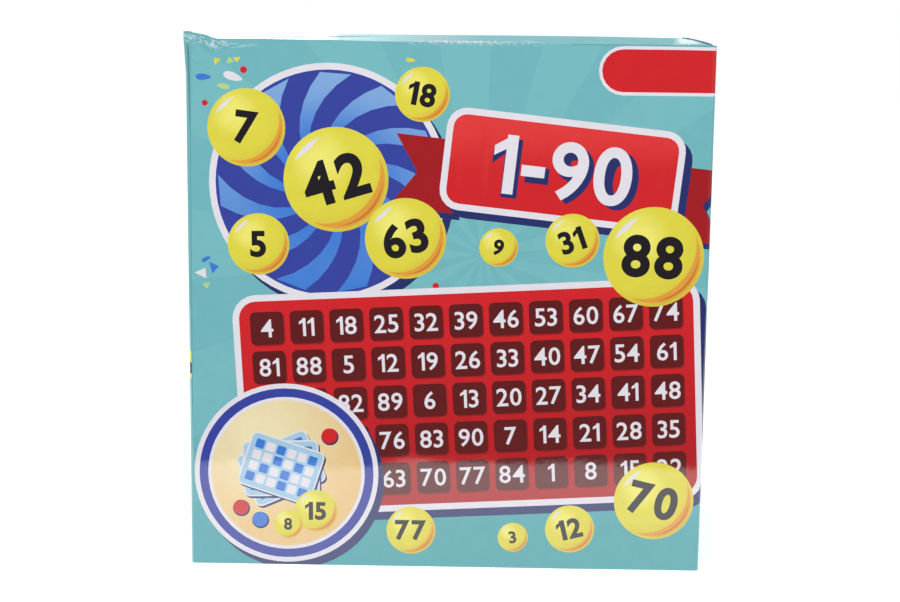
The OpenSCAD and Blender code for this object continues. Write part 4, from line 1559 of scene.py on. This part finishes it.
class BOXEDSET_OT_contents(Operator):
    """Balls, cards, leaflet and chips"""
    bl_idname = "boxedset.contents"
    bl_label = "Balls and cards"

    def execute(self, context):
        for name, finish in (("number_balls", moulded_yellow_polystyrene),
                             ("bingo_cards", printed_card_stock),
                             ("rules_leaflet", white_leaflet_paper),
                             ("marker_chips", mixed_chip_polystyrene)):
            dress(name, finish())
        self.board_marks()
        self.ball_marks()
        self.card_print()
        self.leaflet_print()
        return {"FINISHED"}

    def print_piece(self, name, drawing, place, material, slot):
        """A thin printed layer on a piece, with no points but those of its shapes."""
        step = 400
        made = sheet_piece(name, drawing, place, step, INK_LAYER, [material])
        settle(made, "carton", slot)

    def pit_places(self):
        """Middle of each pit of the number board, in rows from the top, each from the left."""
        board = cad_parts["number_board"].data
        face_y = box_mm("number_board")[0].y
        points = [v.co / MM for v in board.vertices]
        # The rims' short edges on the front face join up to one group a pit
        longest, least_w, most_w, out_of_round = 1.2, 11, 14, 0.3
        rims = [(a, b) for a, b in (tuple(e.vertices) for e in board.edges)
                if (points[a] - points[b]).length < longest
                and max(points[a].y, points[b].y) < face_y + 0.01]
        pits = set()
        for group in joined(rims):
            left, low, right, high = span([(points[i].x, points[i].z) for i in group])
            wide = right - left
            if least_w < wide < most_w and abs(wide - (high - low)) < out_of_round:
                pits.add((-round((high + low) / 2, 1), round((right + left) / 2, 1)))
        return [(x, -drop) for drop, x in sorted(pits)]

    def board_marks(self):
        """A white ring round each pit of the number board and a numeral next to it."""
        low, high = box_mm("number_board")
        drawing = Drawing(rectangle(low.x, low.z, high.x, high.z), None)
        outer_r, inner_r, beside = 7.0, 6.45, 10.6
        for number, (x, z) in enumerate(self.pit_places(), 1):
            side = 1 if x > 0 else -1
            drawing.disc(x, z, outer_r, INK["white"])
            drawing.disc(x, z, inner_r, None)
            drawing.numeral(str(number), x + side * beside, z, 3.8, INK["white"], 0, 0.02)
        self.print_piece("board_marks", drawing, upright_face(low.y, -1), pad_printed_ink(), "paper")

    def ball_marks(self):
        """A black numeral on two sides of each ball."""
        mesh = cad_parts["number_balls"].data
        points = [v.co / MM for v in mesh.vertices]
        balls = []
        for group in joined([tuple(e.vertices) for e in mesh.edges]):
            middle = sum((points[i] for i in group), Vector()) / len(group)
            balls.append((round(middle.z, 1), round(middle.x, 1), round(middle.y, 1)))
        draw = random.Random(21)
        ground_r, step = 3.6, 0.9
        shell = Shell()
        for number, (z, x, y) in enumerate(sorted(balls), 1):
            look = Vector((draw.uniform(-0.8, 0.8), draw.uniform(-1, 0.2), draw.uniform(0.1, 1)))
            turn = Matrix.Rotation(draw.uniform(0, 2 * math.pi), 3, "Z")
            axes = look.to_track_quat("Z", "Y").to_matrix() @ turn
            drawing = Drawing(circle(0, 0, ground_r, 20), None)
            drawing.numeral(str(number), 0, 0, 4.2, INK["black"], 0, 0.02)
            flat, faces, colours = drawing.compose(step)
            for side in (-1, 1):
                def place(u, v, side=side, axes=axes, middle=Vector((x, y, z))):
                    up = math.sqrt(BALL_R ** 2 - u * u - v * v)
                    out = axes @ Vector((u, v * side, side * up))
                    return middle + out, out.normalized()
                shell.add_sheet(place, flat, lambda u, v: INK_LAYER, faces, (0, 0, 0), colours)
        settle(shell.build("ball_marks", [pad_printed_ink()]), "carton", "black_plastic")

    def card_print(self):
        """A card's rows of numbers, on the stack's inner face."""
        low, high = box_mm("bingo_cards")
        middle = (low.z + high.z) / 2
        wide, tall = high.x - low.x - 1, high.z - low.z - 1
        drawing = Drawing(turned(round_box(wide, tall, 3), 0, middle, 0), INK["blue_pale"])
        cell = round_box(18, 20.6, 1, 2)
        number = 3
        for row, column, across, up in cell_places(9, 6):
            x, z = across * (wide - 12), middle + up * (tall - 14)
            drawing.add(turned(cell, x, z, 0), INK["white"])
            number = 1 + (number + 37) % 90
            if (row * 5 + column * 7) % 9 < 5:
                drawing.numeral(str(number), x, z, 9, INK["navy"], 0, 0.01)
        self.print_piece("card_print", drawing, upright_face(high.y, 1), varnished_card_print(),
                         "card")

    def leaflet_print(self):
        """Ruled bars and plain numerals in place of the leaflet's text."""
        low, high = box_mm("rules_leaflet")
        margin, gutter, bars, pitch, bar_h = 8, 4, 13, 6, 1.6
        drawing = Drawing(rectangle(low.x, low.z, high.x, high.z), None)
        for column, left in enumerate((low.x + margin, gutter)):
            right = left + high.x - margin - gutter
            drawing.numeral(str(column + 1), left + 3, high.z - margin - 2, 6, INK["red"], 0, 0.02)
            for row in range(bars):
                z = high.z - margin - 9 - row * pitch
                end = right - (row * 29 + column * 13) % 22
                drawing.add(rectangle(left, z, end, z + bar_h), INK["black"])
        self.print_piece("leaflet_print", drawing, upright_face(high.y, 1), pad_printed_ink(),
                         "paper")


def card_across(low_x, high_x, y, low_z, high_z):
    """Corners of an upright card that faces the carton from the front or the back."""
    return [(low_x, y, low_z), (high_x, y, low_z), (high_x, y, high_z), (low_x, y, high_z)]


def card_along(x, front_y, back_y, high_z):
    """Corners of an upright card that faces the carton from its left or right."""
    return [(x, front_y, 0), (x, back_y, 0), (x, back_y, high_z), (x, front_y, high_z)]


class BOXEDSET_OT_stage(Operator):
    """Pale floor, soft light, cards that the gloss reflects, and the camera"""
    bl_idname = "boxedset.stage"
    bl_label = "Stage"

    def execute(self, context):
        sizes = context.scene.stage_sizes
        self.floor()
        self.world(sizes)
        self.lamps()
        self.cards(sizes)
        self.camera(sizes)
        context.scene.view_settings.view_transform = "Standard"
        return {"FINISHED"}

    def seen(self, tree):
        """The light path's node, and one that gives 1 to rays from camera or gloss or through glass."""
        path = add_node(tree, "ShaderNodeLightPath")
        pair = add_node(tree, "ShaderNodeMath", {"operation": "MAXIMUM"},
                        {0: path.outputs["Is Camera Ray"], 1: path.outputs["Is Glossy Ray"]})
        return path, add_node(tree, "ShaderNodeMath", {"operation": "MAXIMUM"},
                              {0: pair.outputs["Value"], 1: path.outputs["Is Transmission Ray"]})

    def floor(self):
        """A matte white sheet that keeps the object's shadow and reads as white to the camera."""
        material, tree = start_material("matte_white_sheet")
        path, shown = self.seen(tree)
        matte = add_node(tree, "ShaderNodeBsdfDiffuse", None, {"Color": rgba("#f2f2f2")})
        # Overexposed like the photograph's table, so the gloss picks up more than plain white
        strength = add_node(tree, "ShaderNodeMapRange", None,
                            {"Value": path.outputs["Is Glossy Ray"], "To Min": 0.5, "To Max": 1.6})
        glow = add_node(tree, "ShaderNodeEmission", None,
                        {"Color": (1, 1, 1, 1), "Strength": strength.outputs["Result"]})
        both = add_node(tree, "ShaderNodeAddShader", None,
                        {0: matte.outputs["BSDF"], 1: glow.outputs["Emission"]})
        pick = add_node(tree, "ShaderNodeMixShader", None,
                        {0: shown.outputs["Value"], 1: matte.outputs["BSDF"],
                         2: both.outputs["Shader"]})
        add_node(tree, "ShaderNodeOutputMaterial", None, {"Surface": pick.outputs["Shader"]})
        half = 4000.0
        corners = [(x, y, 0) for x, y in rectangle(-half, -half, half, half)]
        new_object("floor_sheet", corners, [(0, 1, 2, 3)], [material])

    def world(self, sizes):
        """Even pale room light, white to the camera and in reflections."""
        world = bpy.data.worlds.new("pale_room")
        bpy.context.scene.world = world
        world.use_nodes = True
        tree = world.node_tree
        tree.nodes.clear()
        _, shown = self.seen(tree)
        strength = add_node(tree, "ShaderNodeMapRange", None,
                            {"Value": shown.outputs["Value"], "To Min": sizes.world_light,
                             "To Max": 1.0})
        light = add_node(tree, "ShaderNodeBackground", None,
                         {"Color": (1, 1, 1, 1), "Strength": strength.outputs["Result"]})
        add_node(tree, "ShaderNodeOutputWorld", None, {"Surface": light.outputs["Background"]})

    def lamps(self):
        """A wide soft key high on the left and a weaker fill on the right."""
        aim_at = Vector((0, 0, 0.14))
        for name, place, size, power in (("key_softbox", (-0.9, -1.5, 1.9), 1.4, 26.0),
                                         ("fill_softbox", (1.5, -1.1, 1.2), 1.2, 9.0)):
            lamp = bpy.data.lights.new(name, "AREA")
            lamp.size = size
            lamp.energy = power
            made = bpy.data.objects.new(name, lamp)
            made.location = place
            aim = aim_at - Vector(place)
            made.rotation_euler = aim.to_track_quat("-Z", "Y").to_euler()
            bpy.context.scene.collection.objects.link(made)

    def cards(self, sizes):
        """Dark, grey and bright cards that only the gloss sees: the room round the table."""
        side, front, back, top, edge = 900, -2200, 700, 1300, sizes.table_edge
        places = (
            ("room_floor", 0.012, [(-side, edge, 1), (side, edge, 1), (side, front, 1),
                                   (-side, front, 1)]),
            ("room_front", 0.012, card_across(-side, side, front, 0, top)),
            ("room_back", 0.30, card_across(-620, side, back, 0, 560)),
            ("back_lamp", 5.0, card_across(-60, 90, back, 620, 1000)),
            ("room_left", 0.30, card_along(-side, front, back, top)),
            ("room_right", 0.30, card_along(side, front, back, top)),
        )
        for name, level, corners in places:
            material, tree = start_material(name)
            glow = add_node(tree, "ShaderNodeEmission", None,
                            {"Color": (1, 1, 1, 1), "Strength": level})
            if name == "room_back":
                self.window(tree, glow)
            add_node(tree, "ShaderNodeOutputMaterial", None, {"Surface": glow.outputs["Emission"]})
            made = new_object(name, corners, [(0, 1, 2, 3)], [material])
            made.visible_camera = made.visible_diffuse = made.visible_shadow = False
            made.visible_transmission = made.visible_volume_scatter = False

    def window(self, tree, glow):
        """Colours the card behind the table, which the lid mirrors: white on the left, then ever
        deeper teal, with one pale glint towards the right."""
        spot = add_node(tree, "ShaderNodeNewGeometry")
        split = add_node(tree, "ShaderNodeSeparateXYZ", None, {"Vector": spot.outputs["Position"]})
        # The ramp runs over this stretch of the card's width, in metres, up to the full brightness
        low, high, full = -0.15, 0.25, 3.2
        share = add_node(tree, "ShaderNodeMapRange", None,
                         {"Value": split.outputs["X"], "From Min": low, "From Max": high})
        ramp = add_node(tree, "ShaderNodeValToRGB", None, {"Fac": share.outputs["Result"]})
        stops = ramp.color_ramp.elements
        teal, glint = (0.26, 0.54, 0.585), (0.9, 1.05, 1.05)
        stops[1].color = (*[c / full for c in teal], 1)
        for x, *level in ((-0.131, full, full, full), (-0.116, 0.8, 1.0, 1.0),
                          (-0.09, 0.63, 0.91, 0.94), (-0.062, 0.5, 0.77, 0.79),
                          (-0.015, 0.41, 0.62, 0.66), (0.02, *teal), (0.197, *teal),
                          (0.204, *glint), (0.216, *glint), (0.226, *teal)):
            stops.new((x - low) / (high - low)).color = (*[c / full for c in level], 1)
        stops[0].color = (1, 1, 1, 1)
        glow.inputs["Strength"].default_value = full
        tree.links.new(ramp.outputs["Color"], glow.inputs["Color"])

    def camera(self, sizes):
        """Camera at the photograph's angle, in front of the carton and a little above it."""
        pitch, yaw, roll = sizes.pitch, sizes.yaw, sizes.roll
        forward = Vector((math.sin(yaw) * math.cos(pitch), math.cos(yaw) * math.cos(pitch),
                          -math.sin(pitch)))
        right = Vector((math.cos(yaw), -math.sin(yaw), 0))
        above = right.cross(forward)
        turn = Matrix.Rotation(roll, 3, -forward)
        right, above = turn @ right, turn @ above
        data = bpy.data.cameras.new("photo_camera")
        data.sensor_width = 36.0
        data.lens = sizes.lens
        data.clip_end = 50.0
        made = bpy.data.objects.new("photo_camera", data)
        axes = Matrix((right, above, -forward)).transposed().to_4x4()
        place = Vector(sizes.target) - forward * sizes.distance
        made.matrix_world = Matrix.Translation(place) @ axes
        bpy.context.scene.collection.objects.link(made)
        bpy.context.scene.camera = made


class BOXEDSET_PT_panel(Panel):
    """Lists the steps that build the boxed set"""
    bl_label = "Boxed Set"
    bl_space_type = "VIEW_3D"
    bl_region_type = "UI"
    bl_category = "Boxed Set"

    def draw(self, context):
        layout = self.layout
        for group in ("carton_sizes", "print_sizes", "stage_sizes"):
            values = getattr(context.scene, group)
            box = layout.box()
            for key in values.bl_rna.properties.keys():
                if key not in ("rna_type", "name"):
                    box.prop(values, key)
        for operator in STEPS:
            layout.operator(operator.bl_idname)


STEPS = (
    BOXEDSET_OT_front, BOXEDSET_OT_back, BOXEDSET_OT_sides, BOXEDSET_OT_lid, BOXEDSET_OT_flaps,
    BOXEDSET_OT_machine, BOXEDSET_OT_contents, BOXEDSET_OT_stage,
)
CLASSES = (CartonSizes, PrintSizes, StageSizes, *STEPS, BOXEDSET_PT_panel)


def register():
    for cls in CLASSES:
        bpy.utils.register_class(cls)
    bpy.types.Scene.carton_sizes = PointerProperty(type=CartonSizes)
    bpy.types.Scene.print_sizes = PointerProperty(type=PrintSizes)
    bpy.types.Scene.stage_sizes = PointerProperty(type=StageSizes)


def unregister():
    del bpy.types.Scene.stage_sizes
    del bpy.types.Scene.print_sizes
    del bpy.types.Scene.carton_sizes
    for cls in reversed(CLASSES):
        bpy.utils.unregister_class(cls)


def main():
    """Registers the add-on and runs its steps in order."""
    register()
    bpy.ops.boxedset.front()
    bpy.ops.boxedset.back()
    bpy.ops.boxedset.sides()
    bpy.ops.boxedset.lid()
    bpy.ops.boxedset.flaps()
    bpy.ops.boxedset.machine()
    bpy.ops.boxedset.contents()
    bpy.ops.boxedset.stage()


if __name__ == "__main__":
    main()
